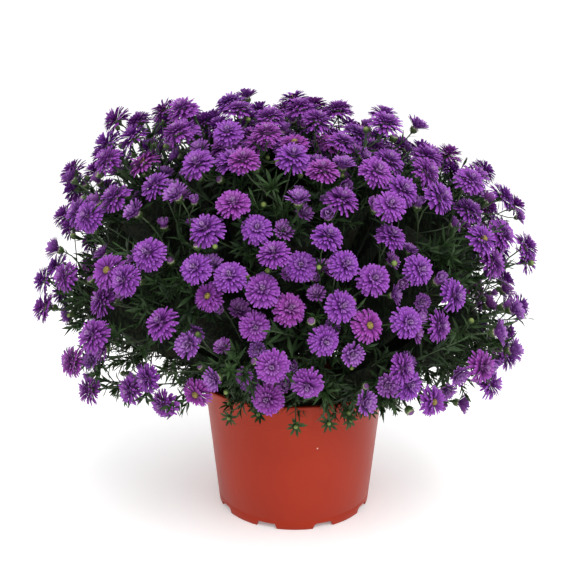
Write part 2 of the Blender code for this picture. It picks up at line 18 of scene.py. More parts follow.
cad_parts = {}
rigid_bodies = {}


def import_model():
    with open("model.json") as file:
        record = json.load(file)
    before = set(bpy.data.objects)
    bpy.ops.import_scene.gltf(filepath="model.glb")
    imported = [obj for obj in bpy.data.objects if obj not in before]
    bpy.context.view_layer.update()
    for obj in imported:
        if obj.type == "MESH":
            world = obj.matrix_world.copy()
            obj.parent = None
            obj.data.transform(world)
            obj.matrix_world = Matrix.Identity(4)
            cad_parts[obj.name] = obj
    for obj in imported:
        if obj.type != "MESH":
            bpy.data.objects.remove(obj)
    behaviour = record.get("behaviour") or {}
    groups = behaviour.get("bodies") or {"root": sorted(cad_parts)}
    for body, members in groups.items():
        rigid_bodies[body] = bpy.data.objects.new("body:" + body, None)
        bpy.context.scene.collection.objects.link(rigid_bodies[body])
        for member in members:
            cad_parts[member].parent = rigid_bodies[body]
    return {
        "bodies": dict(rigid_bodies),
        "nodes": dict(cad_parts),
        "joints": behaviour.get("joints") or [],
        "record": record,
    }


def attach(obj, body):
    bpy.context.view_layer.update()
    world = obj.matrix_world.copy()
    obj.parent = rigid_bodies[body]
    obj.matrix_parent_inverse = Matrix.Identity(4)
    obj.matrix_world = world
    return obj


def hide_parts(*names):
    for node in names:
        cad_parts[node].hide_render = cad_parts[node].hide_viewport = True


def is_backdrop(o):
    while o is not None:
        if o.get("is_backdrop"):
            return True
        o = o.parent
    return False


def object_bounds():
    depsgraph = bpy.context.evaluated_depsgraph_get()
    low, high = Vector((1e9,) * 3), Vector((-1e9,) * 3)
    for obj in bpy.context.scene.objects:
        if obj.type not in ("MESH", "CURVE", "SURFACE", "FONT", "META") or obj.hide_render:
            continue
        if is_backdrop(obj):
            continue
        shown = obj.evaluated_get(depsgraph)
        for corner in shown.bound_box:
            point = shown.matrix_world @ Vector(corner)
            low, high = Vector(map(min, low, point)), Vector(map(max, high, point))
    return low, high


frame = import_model()
cad_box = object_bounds()
print("CAD nodes", len(frame["nodes"]), "box", [list(corner) for corner in cad_box])

# %% [markdown]
# ## Camera
# The plant was photographed from a little above, at an arm's length. A lens of 38 mm on a
# sensor 36 mm wide, 63 cm away and tilted 8 degrees down, gives the pot's edges the slant
# that they have in the photograph.

# %% Camera
MM = 0.001
DEGREES = math.pi / 180
POT_AXIS = (8.5 * MM, -2.0 * MM, 0.0)
LENS = 37.96
CAMERA_PLACE = (-0.0021, -0.629, 0.319)
TILT = 8

eye = bpy.data.cameras.new("camera")
eye.sensor_width = 36
eye.lens = LENS
camera = bpy.data.objects.new("camera", eye)
camera.location = CAMERA_PLACE
camera.rotation_euler = ((90 - TILT) * DEGREES, 0, 0)
bpy.context.scene.collection.objects.link(camera)
bpy.context.scene.camera = camera
print("lens", eye.lens, "at", tuple(camera.location))

# %% [markdown]
# ## Light and floor
# In a studio a plant like this stands on white, with white walls all round. A large soft box
# hangs high in front of it and a weaker one stands lower on its right. The walls are the world's
# own light. Each soft box is an area light, turned so that it faces the middle of the plant.

# %% Light
PLANT_MIDDLE = Vector((0, 0, 0.24))
WALL_LIGHT = 1.06


def add_softbox(name, place, size, watts):
    lamp = bpy.data.lights.new(name, "AREA")
    lamp.size = size
    lamp.energy = watts
    box = bpy.data.objects.new(name, lamp)
    box.location = place
    box.rotation_euler = (PLANT_MIDDLE - Vector(place)).to_track_quat("-Z", "Y").to_euler()
    bpy.context.scene.collection.objects.link(box)
    return box


add_softbox("key_light", (0.35, -1.3, 1.9), 1.1, 24)
add_softbox("fill_light", (1.4, -1.0, 0.9), 1.2, 4)
walls = bpy.data.worlds.new("white_walls")
walls.use_nodes = True
walls.node_tree.nodes["Background"].inputs["Color"].default_value = (1, 1, 1, 1)
walls.node_tree.nodes["Background"].inputs["Strength"].default_value = WALL_LIGHT
bpy.context.scene.world = walls
bpy.context.scene.view_settings.view_transform = "Standard"

# %% [markdown]
# ## Where everything grows
# The solids were laid out by a rule with seeded random draws. The same rule with the same seeds
# gives the same places here, so each finer piece lands where its solid is. Lengths are in
# metres, worked out about the pot's axis, and every finished mesh is moved to where that axis
# stands. These are the sizes of the pot and its soil.

# %% Sizes of the pot and the soil
# The pot is a thin tapered wall with a stepped rim band and a lip, on a foot cut by notches.
POT_HEIGHT = 130 * MM
FOOT_RADIUS = 81.5 * MM
BAND_HEIGHT = 106 * MM
BAND_RADIUS = 93 * MM
BAND_STEP = 0.9 * MM
LIP_RADIUS = 98 * MM
LIP_DEPTH = 3 * MM
LIP_EDGE = 0.6 * MM
POT_WALL = 1.5 * MM
FLOOR_UNDERSIDE = 8 * MM
FOOT_WIDTH = 3.2 * MM
FEET = 9
NOTCH_WIDTH = 24 * MM
NOTCH_HEIGHT = 5 * MM
NOTCH_DEPTH = 12 * MM
NOTCH_TAPER = 0.74
DRAIN_HOLES = 6
DRAIN_RADIUS = 5 * MM
DRAIN_RING = 56 * MM
POT_SIDES = 36
FIT_GAP = 0.4 * MM

# The soil fills the pot to below its rim, and every stem stands in a hole of its own.
SOIL_TOP = 113 * MM
SOIL_LUMP = 2.2 * MM
SOIL_LUMPS_PER_METRE = 60
SOIL_EDGE_DROP = 2 * MM
STEM_DEPTH = 10 * MM
HOLE_SPREAD = 60 * MM

# %% [markdown]
# ## The dome
# An aster in a pot is clipped and fed into a cushion of flowers: wider than high, its sides a
# little square, fuller on its left shoulder here and lower on the right one. One function tells
# how far the surface lies from the middle in any direction. The places on it follow the spiral
# of a sunflower's seeds, which spreads any number of things evenly.

# %% The dome's shape
UP = np.array([0.0, 0.0, 1.0])

SPRAYS = 32
BLOOM_SLOTS = 350
SEED = 11
DOME_MID = 236 * MM
DOME_SHIFT = -6 * MM
FRONT_CROWDING = 0.05
TOP_CROWDING = 0.45
DOME_WIDE = 241 * MM
DOME_DEEP = 190 * MM
DOME_UP = 170 * MM
DOME_DOWN = 136 * MM
SQUARE_ABOVE = 2.6
SQUARE_BELOW = 2.8
DOME_EDGE = 119 * DEGREES
SPARSE_FROM = 106 * DEGREES
SPARSE_DROP = 10 * DEGREES
FULL_SHOULDER = ((-0.66, 0.0, 0.75), 24 * MM)
LOW_SHOULDER = ((0.62, 0.0, 0.78), -22 * MM)
SHOULDER_WIDTH = 24 * DEGREES
CENTRE = np.array([DOME_SHIFT, 0.0, DOME_MID])
GOLDEN_TURN = math.pi * (3 - math.sqrt(5))


def unit(v):
    return np.asarray(v, float) / np.linalg.norm(v)


def aim_at(polar, turn):
    side = math.sin(polar)
    return np.array([side * math.cos(turn), side * math.sin(turn), math.cos(polar)])


def swell_towards(direction, shoulder):
    towards, height = shoulder
    cosine = float(np.clip(direction @ unit(towards), -1, 1))
    return height * math.exp(-((math.acos(cosine) / SHOULDER_WIDTH) ** 2))


def dome_reach(direction):
    """How far the dome's surface lies from its middle in a direction."""
    high = direction[2] > 0
    half = (DOME_WIDE, DOME_DEEP, DOME_UP if high else DOME_DOWN)
    square = SQUARE_ABOVE if high else SQUARE_BELOW
    total = sum(abs(d / h) ** square for d, h in zip(direction, half))
    bulge = swell_towards(direction, FULL_SHOULDER) + swell_towards(direction, LOW_SHOULDER)
    return total ** (-1 / square) + bulge


def depth_in_dome(point):
    away = point - CENTRE
    far = np.linalg.norm(away)
    return dome_reach(away / far) - far


def spiral_place(i, count):
    """One place on a sunflower spiral: its share of the dome's area, polar angle and turn.

    The places lie closer together at the top, the front and the back than at the sides.
    """
    share = (i + 0.5) / count
    share *= 1 - TOP_CROWDING * (1 - share)
    polar = math.acos(1 - share * (1 - math.cos(DOME_EDGE)))
    turn = i * GOLDEN_TURN
    return share, polar, turn + FRONT_CROWDING * math.sin(2 * turn)

reaches = [round(dome_reach(np.array(way)), 3) for way in ((0.0, 0.0, 1.0), (1.0, 0.0, 0.0))]
print("dome reaches up and right", reaches)

# %% [markdown]
# ## Places of the blooms
# Every shoot ends in a bloom, or in a tuft of leaves where it has not budded. They start on the
# spiral, shifted a little at random, and are then pushed apart until no two of them touch.

# %% Places of the blooms
BLOOM_DEPTHS = (3 * MM, 22 * MM)
PLACE_SPREAD = 0.035
PUSHES = 30
PUSH_SHARE = 0.45
FACED_FROM_BELOW = 20 * MM
FACE_RISE = 0.25
FACE_SPREAD = 0.16

# A bloom is a disc of petals over a green cup on its stalk.
FRONT_RADIUS = 12.4 * MM
BACK_RADIUS = 14.9 * MM
RADIUS_SHARES = (0.93, 1.07)
BLOOM_BACK = 7 * MM
BLOOM_GAP = 1.2 * MM

# Some shoots end in a tuft of leaves: the lowest ones, and a few where their neighbours bloom.
TUFTS = ((-0.05, -0.86, 0.5), (-0.62, -0.35, 0.7), (0.3, 0.8, 0.5), (0.75, 0.3, 0.55))
TUFT_CUP = 7 * MM


def scatter_blooms(rng):
    blooms = []
    for i in range(BLOOM_SLOTS):
        _, polar, turn = spiral_place(i, BLOOM_SLOTS)
        low = polar > SPARSE_FROM + SPARSE_DROP * max(0.0, -math.sin(turn))
        polar += rng.gauss(0, PLACE_SPREAD)
        turn += rng.gauss(0, PLACE_SPREAD) / max(0.2, math.sin(polar))
        direction = aim_at(polar, turn)
        front = max(0.0, -direction[1])
        radius = BACK_RADIUS + (FRONT_RADIUS - BACK_RADIUS) * front
        radius *= rng.uniform(*RADIUS_SHARES)
        place = CENTRE + direction * (dome_reach(direction) - rng.uniform(*BLOOM_DEPTHS))
        blooms.append({"place": place, "radius": radius, "tuft": low and i % 2 == 1})
    return blooms


def push_apart(blooms):
    """Moves blooms away from each other until no two touch."""
    places = np.array([bloom["place"] for bloom in blooms])
    radii = np.array([bloom["radius"] for bloom in blooms])
    wanted = radii[:, None] + radii[None, :] + BLOOM_GAP
    np.fill_diagonal(wanted, 0.0)
    for _ in range(PUSHES):
        between = places[:, None] - places[None, :]
        far = np.linalg.norm(between, axis=2) + np.eye(len(blooms))
        short = np.clip(wanted - far, 0, None) * PUSH_SHARE
        places = places + (between / far[..., None] * short[..., None]).sum(axis=1)
    for bloom, place in zip(blooms, places):
        bloom["place"] = place


def face_bloom(bloom, rng):
    outward = unit(bloom["place"] - CENTRE + UP * FACED_FROM_BELOW)
    lean = np.array([rng.gauss(0, FACE_SPREAD) for _ in range(3)])
    bloom["face"] = unit(outward + lean + UP * FACE_RISE)
    bloom["base"] = bloom["place"] - bloom["face"] * BLOOM_BACK


def mark_tufts(blooms):
    aims = np.array([unit(bloom["place"] - CENTRE) for bloom in blooms])
    for towards in TUFTS:
        blooms[int(np.argmax(aims @ unit(towards)))]["tuft"] = True

# %% [markdown]
# ## Stems and side stalks
# A stem comes straight out of the soil and bends outwards to its own bloom. Side stalks leave
# it low enough to reach their blooms at a slant, as an aster branches, but clear of the pot.

# %% Stems and side stalks
STEM_RISE = 4 * MM
STEM_LEAN = 0.42
STEM_LEAN_MOST = 0.72
STEM_BENDS = (0.4, 0.3)
STEM_STEPS = (0.22, 0.45, 0.66, 0.84, 1.0)
BRANCH_SHORTEST = 14 * MM
BRANCH_SLANT = 1.15
POT_ROOM = 6 * MM
STEP = 2 * MM
POINTS_A_STEP = 8


def bend(start, leave, arrive, end, shares):
    """Points of a smooth bend. It leaves towards one point and arrives from another."""
    points = []
    for t in shares:
        s = 1 - t
        points.append(s**3 * start + 3 * s * s * t * leave + 3 * s * t * t * arrive + t**3 * end)
    return points


def stem_line(hole, bloom, polar):
    """A stem's points: straight up through its hole, then one smooth bend to its bloom."""
    base = bloom["base"]
    outward = unit([base[0], base[1], 1e-9])
    start = hole + UP * STEM_RISE
    reach = np.linalg.norm(base - start)
    lean = unit(UP + outward * math.tan(min(polar * STEM_LEAN, STEM_LEAN_MOST)))
    leave = start + lean * reach * STEM_BENDS[0]
    arrive = base - unit(bloom["face"] + outward * 0.3) * reach * STEM_BENDS[1]
    return [hole - UP * STEM_DEPTH, start] + bend(start, leave, arrive, base, STEM_STEPS)


def back_along(line, distance):
    """The point of a line that lies a distance back from its tip."""
    for lower, upper in zip(line[-2::-1], line[:0:-1]):
        step = np.linalg.norm(upper - lower)
        if distance <= step:
            return upper + (lower - upper) * (distance / step)
        distance -= step
    return line[0]


def hits_pot(point, room):
    wide = math.hypot(point[0], point[1])
    if wide < FOOT_RADIUS:
        return point[2] < SOIL_TOP + 2 * room
    return wide < LIP_RADIUS + 3 * room and point[2] < POT_HEIGHT + room


def line_length(line):
    return sum(float(np.linalg.norm(upper - lower)) for lower, upper in zip(line, line[1:]))


def branch_line(stem, bloom):
    """A side stalk leaves the stem low enough to reach its bloom at a slant, but clear of the pot."""
    tip_aim = unit(stem[-1] - stem[-2])
    offset = bloom["base"] - stem[-1]
    ahead = float(offset @ tip_aim)
    aside = math.sqrt(max(0.0, float(offset @ offset) - ahead * ahead))
    back = max(BRANCH_SHORTEST, aside * BRANCH_SLANT - ahead)
    line = [back_along(stem, back), bloom["base"]]
    while back > BRANCH_SHORTEST and any(hits_pot(point, POT_ROOM) for point in np.linspace(*line, 20)):
        back -= 2 * STEP
        line[0] = back_along(stem, back)
    return line

# %% [markdown]
# ## The crowded inside
# Deep in the dome the twigs and old leaves are so close that no light comes through. In each
# spray they fill the room between its stem and its neighbours. Rings of corners round the stem
# mark how far that goes.

# %% The inside of each spray
CORE_DEPTH = 30 * MM
CORE_ROOM = 1.2 * MM
CORE_SIDES = 6
CORE_SHARES = (0.78, 0.46, 0.17)
CORE_ENDS = (0.88, 0.11)
CORE_NARROWEST = 3 * MM
CORE_WIDEST = 54 * MM
CORE_UNEVEN = 0.2
CORE_OVER_RIM = 9 * MM


def stalk_points(lines):
    """Points every few millimetres along each line of a list, and which line each is on."""
    points, owners = [], []
    for k, line in enumerate(lines):
        for lower, upper in zip(line, line[1:]):
            for share in np.arange(POINTS_A_STEP) / POINTS_A_STEP:
                points.append(lower + share * (upper - lower))
                owners.append(k)
    return np.array(points), np.array(owners)


def own_ground(point, k, points, owners):
    """How much nearer a point is to its own stem than to any other spray's."""
    far = np.linalg.norm(points - point, axis=1)
    return float(far[owners != k].min() - far[owners == k].min())


def core_reach(middle, towards, k, points, owners):
    """How far a core may swell in one direction before it leaves its spray's own ground."""
    reach = CORE_NARROWEST
    while reach < CORE_WIDEST:
        point = middle + towards * (reach + STEP)
        if own_ground(point, k, points, owners) < 2 * CORE_ROOM or depth_in_dome(point) < CORE_DEPTH:
            break
        if hits_pot(point, CORE_OVER_RIM):
            break
        reach += STEP
    return reach


def core_rings(k, stem, points, owners):
    """The corners of a core, ring by ring from its lower end to its upper one."""
    rng = random.Random(SEED * 10 + k)
    rings = []
    for share in CORE_SHARES:
        back = share * line_length(stem)
        middle = back_along(stem, back)
        ahead = unit(back_along(stem, back - 5 * MM) - middle)
        across = unit(np.cross(ahead, [0.3, 0.2, 0.93]))
        other = np.cross(ahead, across)
        ring = []
        for n in range(CORE_SIDES):
            turn = (n + rng.uniform(-CORE_UNEVEN, CORE_UNEVEN)) * 2 * math.pi / CORE_SIDES
            towards = across * math.cos(turn) + other * math.sin(turn)
            reach = core_reach(middle, towards, k, points, owners)
            ring.append(middle + towards * reach * rng.uniform(1 - CORE_UNEVEN, 1))
        rings.append(ring)
    return rings


def lay_out_blooms():
    rng = random.Random(SEED)
    blooms = scatter_blooms(rng)
    push_apart(blooms)
    for bloom in blooms:
        face_bloom(bloom, rng)
    mark_tufts(blooms)
    return blooms


def share_out(blooms, aims):
    """Each bloom goes to the nearest aim. Every share starts with its most central bloom."""
    owned = [[] for _ in aims]
    for bloom in blooms:
        nearness = np.array(aims) @ unit(bloom["place"] - CENTRE)
        owned[int(np.argmax(nearness))].append((-float(nearness.max()), bloom))
    return [[bloom for _, bloom in sorted(mine, key=lambda pair: pair[0])] for mine in owned]


def lay_out_sprays():
    """Every spray with its hole, stem, side stalks and blooms. The first bloom is the stem's own."""
    places = [spiral_place(k, SPRAYS) for k in range(SPRAYS)]
    shares = share_out(lay_out_blooms(), [aim_at(polar, turn) for _, polar, turn in places])
    sprays = []
    for (share, polar, turn), mine in zip(places, shares):
        across = HOLE_SPREAD * math.sqrt(share)
        hole = np.array([across * math.cos(turn), across * math.sin(turn), SOIL_TOP])
        stem = stem_line(hole, mine[0], polar)
        lines = [stem] + [branch_line(stem, bloom) for bloom in mine[1:]]
        sprays.append({"hole": hole, "blooms": mine, "lines": lines, "leaves": []})
    points, owners = stalk_points([spray["lines"][0] for spray in sprays])
    for k, spray in enumerate(sprays):
        spray["core"] = core_rings(k, spray["lines"][0], points, owners)
    return sprays

# %% [markdown]
# ## Leafy shoots
# Between the flower stalks stand shoots with leaves only. Each one is drawn at random and kept
# if it is clear of the stalks, the blooms, the rim and the shoots before it.

# %% Leafy shoots
LEAVES_PER_SPRAY = 3
LEAF_BACKS = (0.2, 0.45)
LEAF_SLANTS = (0.15, 0.8)
LEAF_TIP_DEPTHS = (2 * MM, 24 * MM)
LEAF_WIDTH = 8 * MM
LEAF_ROOM = 1.8 * MM
LEAF_SHORTEST = 20 * MM
LEAF_TRIES = 150


class Crowd:
    """What the leaves have to keep clear of: stalks, blooms, other leaves and the pot's rim."""

    def __init__(self, sprays):
        stalks = [
            (lower, upper, k, n)
            for k, spray in enumerate(sprays)
            for n, line in enumerate(spray["lines"])
            for lower, upper in zip(line, line[1:])
        ]
        blooms = [bloom for spray in sprays for bloom in spray["blooms"]]
        self.lower = np.array([stalk[0] for stalk in stalks])
        self.run = np.array([stalk[1] - stalk[0] for stalk in stalks])
        self.owner = np.array([stalk[2:] for stalk in stalks])
        self.places = np.array([bloom["place"] for bloom in blooms])
        self.faces = np.array([bloom["face"] for bloom in blooms])
        self.radii = np.array([bloom["radius"] for bloom in blooms])
        self.leaves = np.zeros((0, 3))
        self.stems = stalk_points([spray["lines"][0] for spray in sprays])

    def stalk_room(self, points, k):
        """The least distance from points to every stalk but the k-th spray's own stem."""
        others = (self.owner != (k, 0)).any(axis=1)
        lower, run = self.lower[others], self.run[others]
        away = points[:, None] - lower[None]
        share = np.clip((away * run).sum(axis=2) / (run * run).sum(axis=1), 0, 1)
        return float(np.linalg.norm(away - share[..., None] * run, axis=2).min())

    def in_bloom(self, points):
        away = points[:, None] - self.places[None]
        high = (away * self.faces).sum(axis=2)
        wide = np.linalg.norm(away - high[..., None] * self.faces, axis=2)
        level = (high > -BLOOM_BACK - LEAF_ROOM) & (high < TUFT_CUP + LEAF_ROOM)
        reach = self.radii * np.clip(1 + high / (1.3 * BLOOM_BACK), 0.3, 1)
        return bool((level & (wide < reach + LEAF_ROOM)).any())

    def near_leaf(self, points):
        if not len(self.leaves):
            return False
        between = points[:, None] - self.leaves[None]
        return np.linalg.norm(between, axis=2).min() < LEAF_WIDTH / 2 + LEAF_ROOM

    def takes(self, points, k):
        """True if a leaf of the k-th spray with its middle line at points fits in beside the rest."""
        depths = np.array([depth_in_dome(point) for point in points])
        shell = points[depths < CORE_DEPTH]
        inside = points[depths >= CORE_DEPTH][2:]
        if any(hits_pot(point, POT_ROOM) for point in points[2:]):
            return False
        if any(own_ground(point, k, *self.stems) < LEAF_WIDTH for point in inside):
            return False
        if self.in_bloom(shell) or self.near_leaf(shell) or self.stalk_room(shell, k) < 2 * LEAF_ROOM:
            return False
        self.leaves = np.vstack([self.leaves, shell])
        return True


def slanted(stalk_aim, slant, rng):
    """A random direction at a slant from a stalk."""
    aside = unit(np.cross(stalk_aim, aim_at(rng.uniform(0.3, 2.8), rng.uniform(0, 2 * math.pi))))
    return unit(stalk_aim * math.cos(slant) + aside * math.sin(slant))


def leaf_line(stem, rng):
    """The middle line of a leaf that runs from the stem out to a little below the dome's surface."""
    back = rng.uniform(*LEAF_BACKS) * line_length(stem)
    root = back_along(stem, back)
    stem_aim = unit(back_along(stem, back - 2 * STEP) - root)
    direction = slanted(stem_aim, rng.uniform(*LEAF_SLANTS), rng)
    tip_depth = rng.uniform(*LEAF_TIP_DEPTHS)
    length = LEAF_SHORTEST
    while depth_in_dome(root + direction * length) > tip_depth:
        length += STEP
    return root + np.linspace(0, 1, 21)[:, None] * length * direction


def add_leaves(k, spray, crowd):
    rng = random.Random(SEED * 100 + k)
    for _ in range(LEAF_TRIES):
        points = leaf_line(spray["lines"][0], rng)
        if crowd.takes(points, k):
            spray["leaves"].append((points[0], points[-1]))
        if len(spray["leaves"]) == LEAVES_PER_SPRAY:
            break


def lay_out_plant():
    sprays = lay_out_sprays()
    crowd = Crowd(sprays)
    for k, spray in enumerate(sprays):
        add_leaves(k, spray, crowd)
    return sprays


sprays = lay_out_plant()
crowd = Crowd(sprays)
print("sprays", len(sprays), "shoot ends", sum(len(spray["blooms"]) for spray in sprays))
print("leafy shoots", sum(len(spray["leaves"]) for spray in sprays))

# %% [markdown]
# ## A small language for finishes
# A finish in Blender is a graph of nodes. Written link by link it is hard to read, so one class
# stands for a socket that carries a value, and Python's own operators on it add Math nodes.
# Another class is the material: it adds any node from its type, its settings and its inputs.

# %% Wires and finishes
class Wire:
    """A socket that carries a value. Arithmetic on it adds Math nodes."""

    def __init__(self, finish, socket):
        self.finish = finish
        self.socket = socket

    def math(self, operation, first, second=0.0):
        return self.finish.add("ShaderNodeMath", {"operation": operation}, {0: first, 1: second})

    def __add__(self, other):
        return self.math("ADD", self, other)

    __radd__ = __add__

    def __sub__(self, other):
        return self.math("SUBTRACT", self, other)

    def __rsub__(self, other):
        return self.math("SUBTRACT", other, self)

    def __mul__(self, other):
        return self.math("MULTIPLY", self, other)

    __rmul__ = __mul__

    def __truediv__(self, other):
        return self.math("DIVIDE", self, other)

    def __pow__(self, other):
        return self.math("POWER", self, other)

    def __abs__(self):
        return self.math("ABSOLUTE", self)

    def sine(self):
        return self.math("SINE", self)

    def above(self, edge, softness):
        """0 below an edge and 1 above it, with a soft step between."""
        value = {"Value": self, "From Min": edge - softness, "From Max": edge + softness}
        return self.finish.add("ShaderNodeMapRange", {"interpolation_type": "SMOOTHSTEP"}, value)


class Finish:
    """A material with one Principled shader."""

    def __init__(self, name, roughness, specular=0.5, sheen=0.0):
        self.material = bpy.data.materials.new(name)
        self.material.use_nodes = True
        self.tree = self.material.node_tree
        self.shader = self.tree.nodes["Principled BSDF"]
        self.shader.inputs["Roughness"].default_value = roughness
        self.shader.inputs["Specular IOR Level"].default_value = specular
        self.shader.inputs["Sheen Weight"].default_value = sheen

    def add(self, kind, settings=None, values=None, out=0):
        """A node from its type, its settings and the values or wires of its inputs."""
        node = self.tree.nodes.new(kind)
        for key, value in (settings or {}).items():
            setattr(node, key, value)
        for key, value in (values or {}).items():
            self.plug(node.inputs[key], value)
        return Wire(self, node.outputs[out])

    def plug(self, socket, value):
        if isinstance(value, Wire):
            self.tree.links.new(value.socket, socket)
        else:
            socket.default_value = value

    def drive(self, socket, wire):
        """Feeds a socket of the shader itself."""
        self.plug(self.shader.inputs[socket], wire)

    def attribute(self, name):
        return self.add("ShaderNodeAttribute", {"attribute_name": name}, out="Fac")

    def place(self, x=1.0, y=1.0, z=1.0):
        """Object coordinates, stretched along each axis."""
        spot = self.add("ShaderNodeTexCoord", out="Object")
        return self.add("ShaderNodeMapping", {}, {"Vector": spot, "Scale": (x, y, z)})

    def noise(self, scale, detail=3.0, where=None):
        values = {"Vector": where or self.place(), "Scale": scale, "Detail": detail}
        return self.add("ShaderNodeTexNoise", {}, values)

    def mix(self, low, high, share):
        """A colour between two, by a share from 0 to 1."""
        low, high = [c if isinstance(c, Wire) else (*c, 1) for c in (low, high)]
        return self.add("ShaderNodeMix", {"data_type": "RGBA"}, {0: share, 6: low, 7: high}, out=2)

    def relief(self, height, distance, strength=1.0):
        values = {"Height": height, "Distance": distance, "Strength": strength}
        self.drive("Normal", self.add("ShaderNodeBump", {}, values))


print("operators on a wire:", [name for name in vars(Wire) if name.endswith("__") and "init" not in name])

# %% [markdown]
# ## Petals and the eye of a bloom
# A petal is a soft matt strap: deep violet where it sinks into the bloom, its own deeper colour darkened
# further there by painted shade, brighter along its blade, paler at its tip with a painted highlight, and
# palest in the small florets of the middle, partly their own paler colour and partly a painted highlight.
# Fine lines run along it. Each petal
# knows how far along and across itself a point is, how near its ring is to the middle of the
# bloom, and the tone of its bloom, because some blooms are bluer and old ones turn pink.

# %% Petal finish
PETAL_LINES = 9.0


def petal_finish():
    finish = Finish("aster_petal", 0.62, specular=0.14)
    along, across = finish.attribute("along"), finish.attribute("across")
    inner, tone = finish.attribute("inner"), finish.attribute("tone")
    # Dark at the root: the petal's own deeper violet, darkened further by painted shade where it sinks into
    # the bloom.
    blue = finish.mix((0.042, 0.003, 0.09), (0.235, 0.052, 0.385), along.above(0.38, 0.38))
    pink = finish.mix((0.070, 0.004, 0.075), (0.29, 0.046, 0.32), along.above(0.38, 0.38))
    blade = finish.mix(blue, pink, tone)
    # Paler tips: a painted highlight.
    tipped = finish.mix(blade, (0.36, 0.13, 0.52), along.above(0.88, 0.12) * 0.6)
    # Palest inner florets: partly their own paler colour, partly a painted highlight that lightens the
    # shaded middle of the bloom.
    pale = finish.mix(tipped, (0.55, 0.35, 0.62), inner.above(0.8, 0.25) * along * 0.85)
    lines = (across * PETAL_LINES).sine()
    streaked = finish.mix(pale, (0.09, 0.01, 0.16), lines.above(0.6, 0.4) * 0.22)
    worn = finish.noise(260.0)
    finish.drive("Base Color", finish.mix(streaked, (0.44, 0.16, 0.56), worn.above(0.62, 0.12) * 0.3))
    finish.drive("Roughness", worn * 0.25 + 0.5)
    finish.relief(lines, 0.05 * MM)
    return finish.material


def eye_finish():
    finish = Finish("aster_eye", 0.7)
    inner, grains = finish.attribute("inner"), finish.noise(1400.0)
    lilac = finish.mix((0.18, 0.05, 0.23), (0.40, 0.24, 0.44), grains.above(0.5, 0.1))
    yellow = finish.mix((0.09, 0.065, 0.012), (0.29, 0.215, 0.035), grains.above(0.5, 0.1))
    finish.drive("Base Color", finish.mix(lilac, yellow, inner.above(2.5, 0.1)))
    finish.relief(grains, 0.3 * MM)
    return finish.material


petal, eye_of_bloom = petal_finish(), eye_finish()
print("petal nodes", len(petal.node_tree.nodes), "eye nodes", len(eye_of_bloom.node_tree.nodes))

# %% [markdown]
# ## Leaves, stems and the old growth inside
# Aster leaves are dark, a little glossy, with a paler midrib, and fresher green near the tips of the
# shoots. Stems are green with brown scars and turn woody low down. The old growth in the middle of the
# plant is almost black-green, its own dark colour deepened by painted shade.

# %% Green finishes
def leaf_finish():
    finish = Finish("aster_leaf", 0.5, specular=0.2)
    along, across, tone = [finish.attribute(name) for name in ("along", "across", "tone")]
    blade = finish.mix((0.006, 0.016, 0.005), (0.030, 0.070, 0.018), tone)
    tipped = finish.mix(blade, (0.055, 0.095, 0.022), along.above(0.9, 0.25) * tone * 0.6)
    midrib = 1 - abs(across).above(0.14, 0.1)
    spots = finish.noise(420.0)
    ribbed = finish.mix(tipped, (0.06, 0.095, 0.034), midrib * 0.35)
    finish.drive("Base Color", finish.mix(ribbed, (0.005, 0.010, 0.005), spots.above(0.58, 0.1) * 0.5))
    finish.drive("Roughness", spots * 0.3 + 0.38)
    finish.relief(midrib + spots * 0.4, 0.12 * MM)
    return finish.material


def stem_finish():
    finish = Finish("aster_stem", 0.6)
    along, tone = finish.attribute("along"), finish.attribute("tone")
    green = finish.mix((0.016, 0.028, 0.010), (0.034, 0.064, 0.018), along)
    scars = finish.noise(600.0, 2.0, finish.place(1.0, 1.0, 0.3))
    woody = scars.above(0.6, 0.08) * (1 - along) * 0.8
    finish.drive("Base Color", finish.mix(green, (0.045, 0.027, 0.018), woody))
    finish.drive("Roughness", scars * 0.3 + 0.45 + tone * 0.02)
    finish.relief(scars, 0.15 * MM)
    return finish.material


def old_growth_shade_finish():
    finish = Finish("old_growth_painted_shade", 0.9, specular=0.15)
    twigs, leaves = finish.noise(340.0, 5.0, finish.place(1.0, 1.0, 0.35)), finish.noise(90.0)
    # Near-black twigs and old leaves: partly their own dark colour, partly painted shade for the dense
    # inside where no light reaches.
    dark = finish.mix((0.003, 0.005, 0.003), (0.012, 0.020, 0.008), twigs.above(0.52, 0.08))
    finish.drive("Base Color", finish.mix(dark, (0.016, 0.012, 0.008), leaves.above(0.6, 0.08) * 0.7))
    finish.relief(twigs + leaves, 2.5 * MM)
    return finish.material


def bud_finish():
    """Green scales below, a creamy white edge and the dark folded petals in its middle."""
    finish = Finish("aster_bud", 0.55)
    along, tone, grains = finish.attribute("along"), finish.attribute("tone"), finish.noise(500.0)
    scales = finish.mix((0.018, 0.040, 0.010), (0.075, 0.13, 0.028), along + grains * 0.3 - 0.1)
    young = finish.mix(scales, (0.16, 0.21, 0.04), along.above(0.7, 0.2) * 0.8)
    edged = finish.mix(scales, (0.27, 0.29, 0.17), along.above(0.7, 0.06))
    open_bud = finish.mix(edged, (0.13, 0.035, 0.16), along.above(0.84, 0.04))
    finish.drive("Base Color", finish.mix(young, open_bud, tone.above(0.5, 0.1)))
    finish.relief(grains, 0.2 * MM)
    return finish.material


stem_green, leaf_green = stem_finish(), leaf_finish()
bud_green, old_growth_painted_shade = bud_finish(), old_growth_shade_finish()
print("greens", [m.name for m in (stem_green, leaf_green, bud_green, old_growth_painted_shade)])

# %% [markdown]
# ## One tool for everything that is long
# Petals, leaves, stalks and twigs are all one shape: a ring of corners drawn out along a line,
# wider here and narrower there. The ring is a circle with its end face filled. Extruding that
# face, moving and scaling it step by step, leaves a closed skin behind it. Each corner keeps
# how far along and across the blade it is, for the finish to read.

# %% Sweep a ring along a line
CHANNELS = ("along", "across", "inner", "tone")
SHARP = 50 * DEGREES


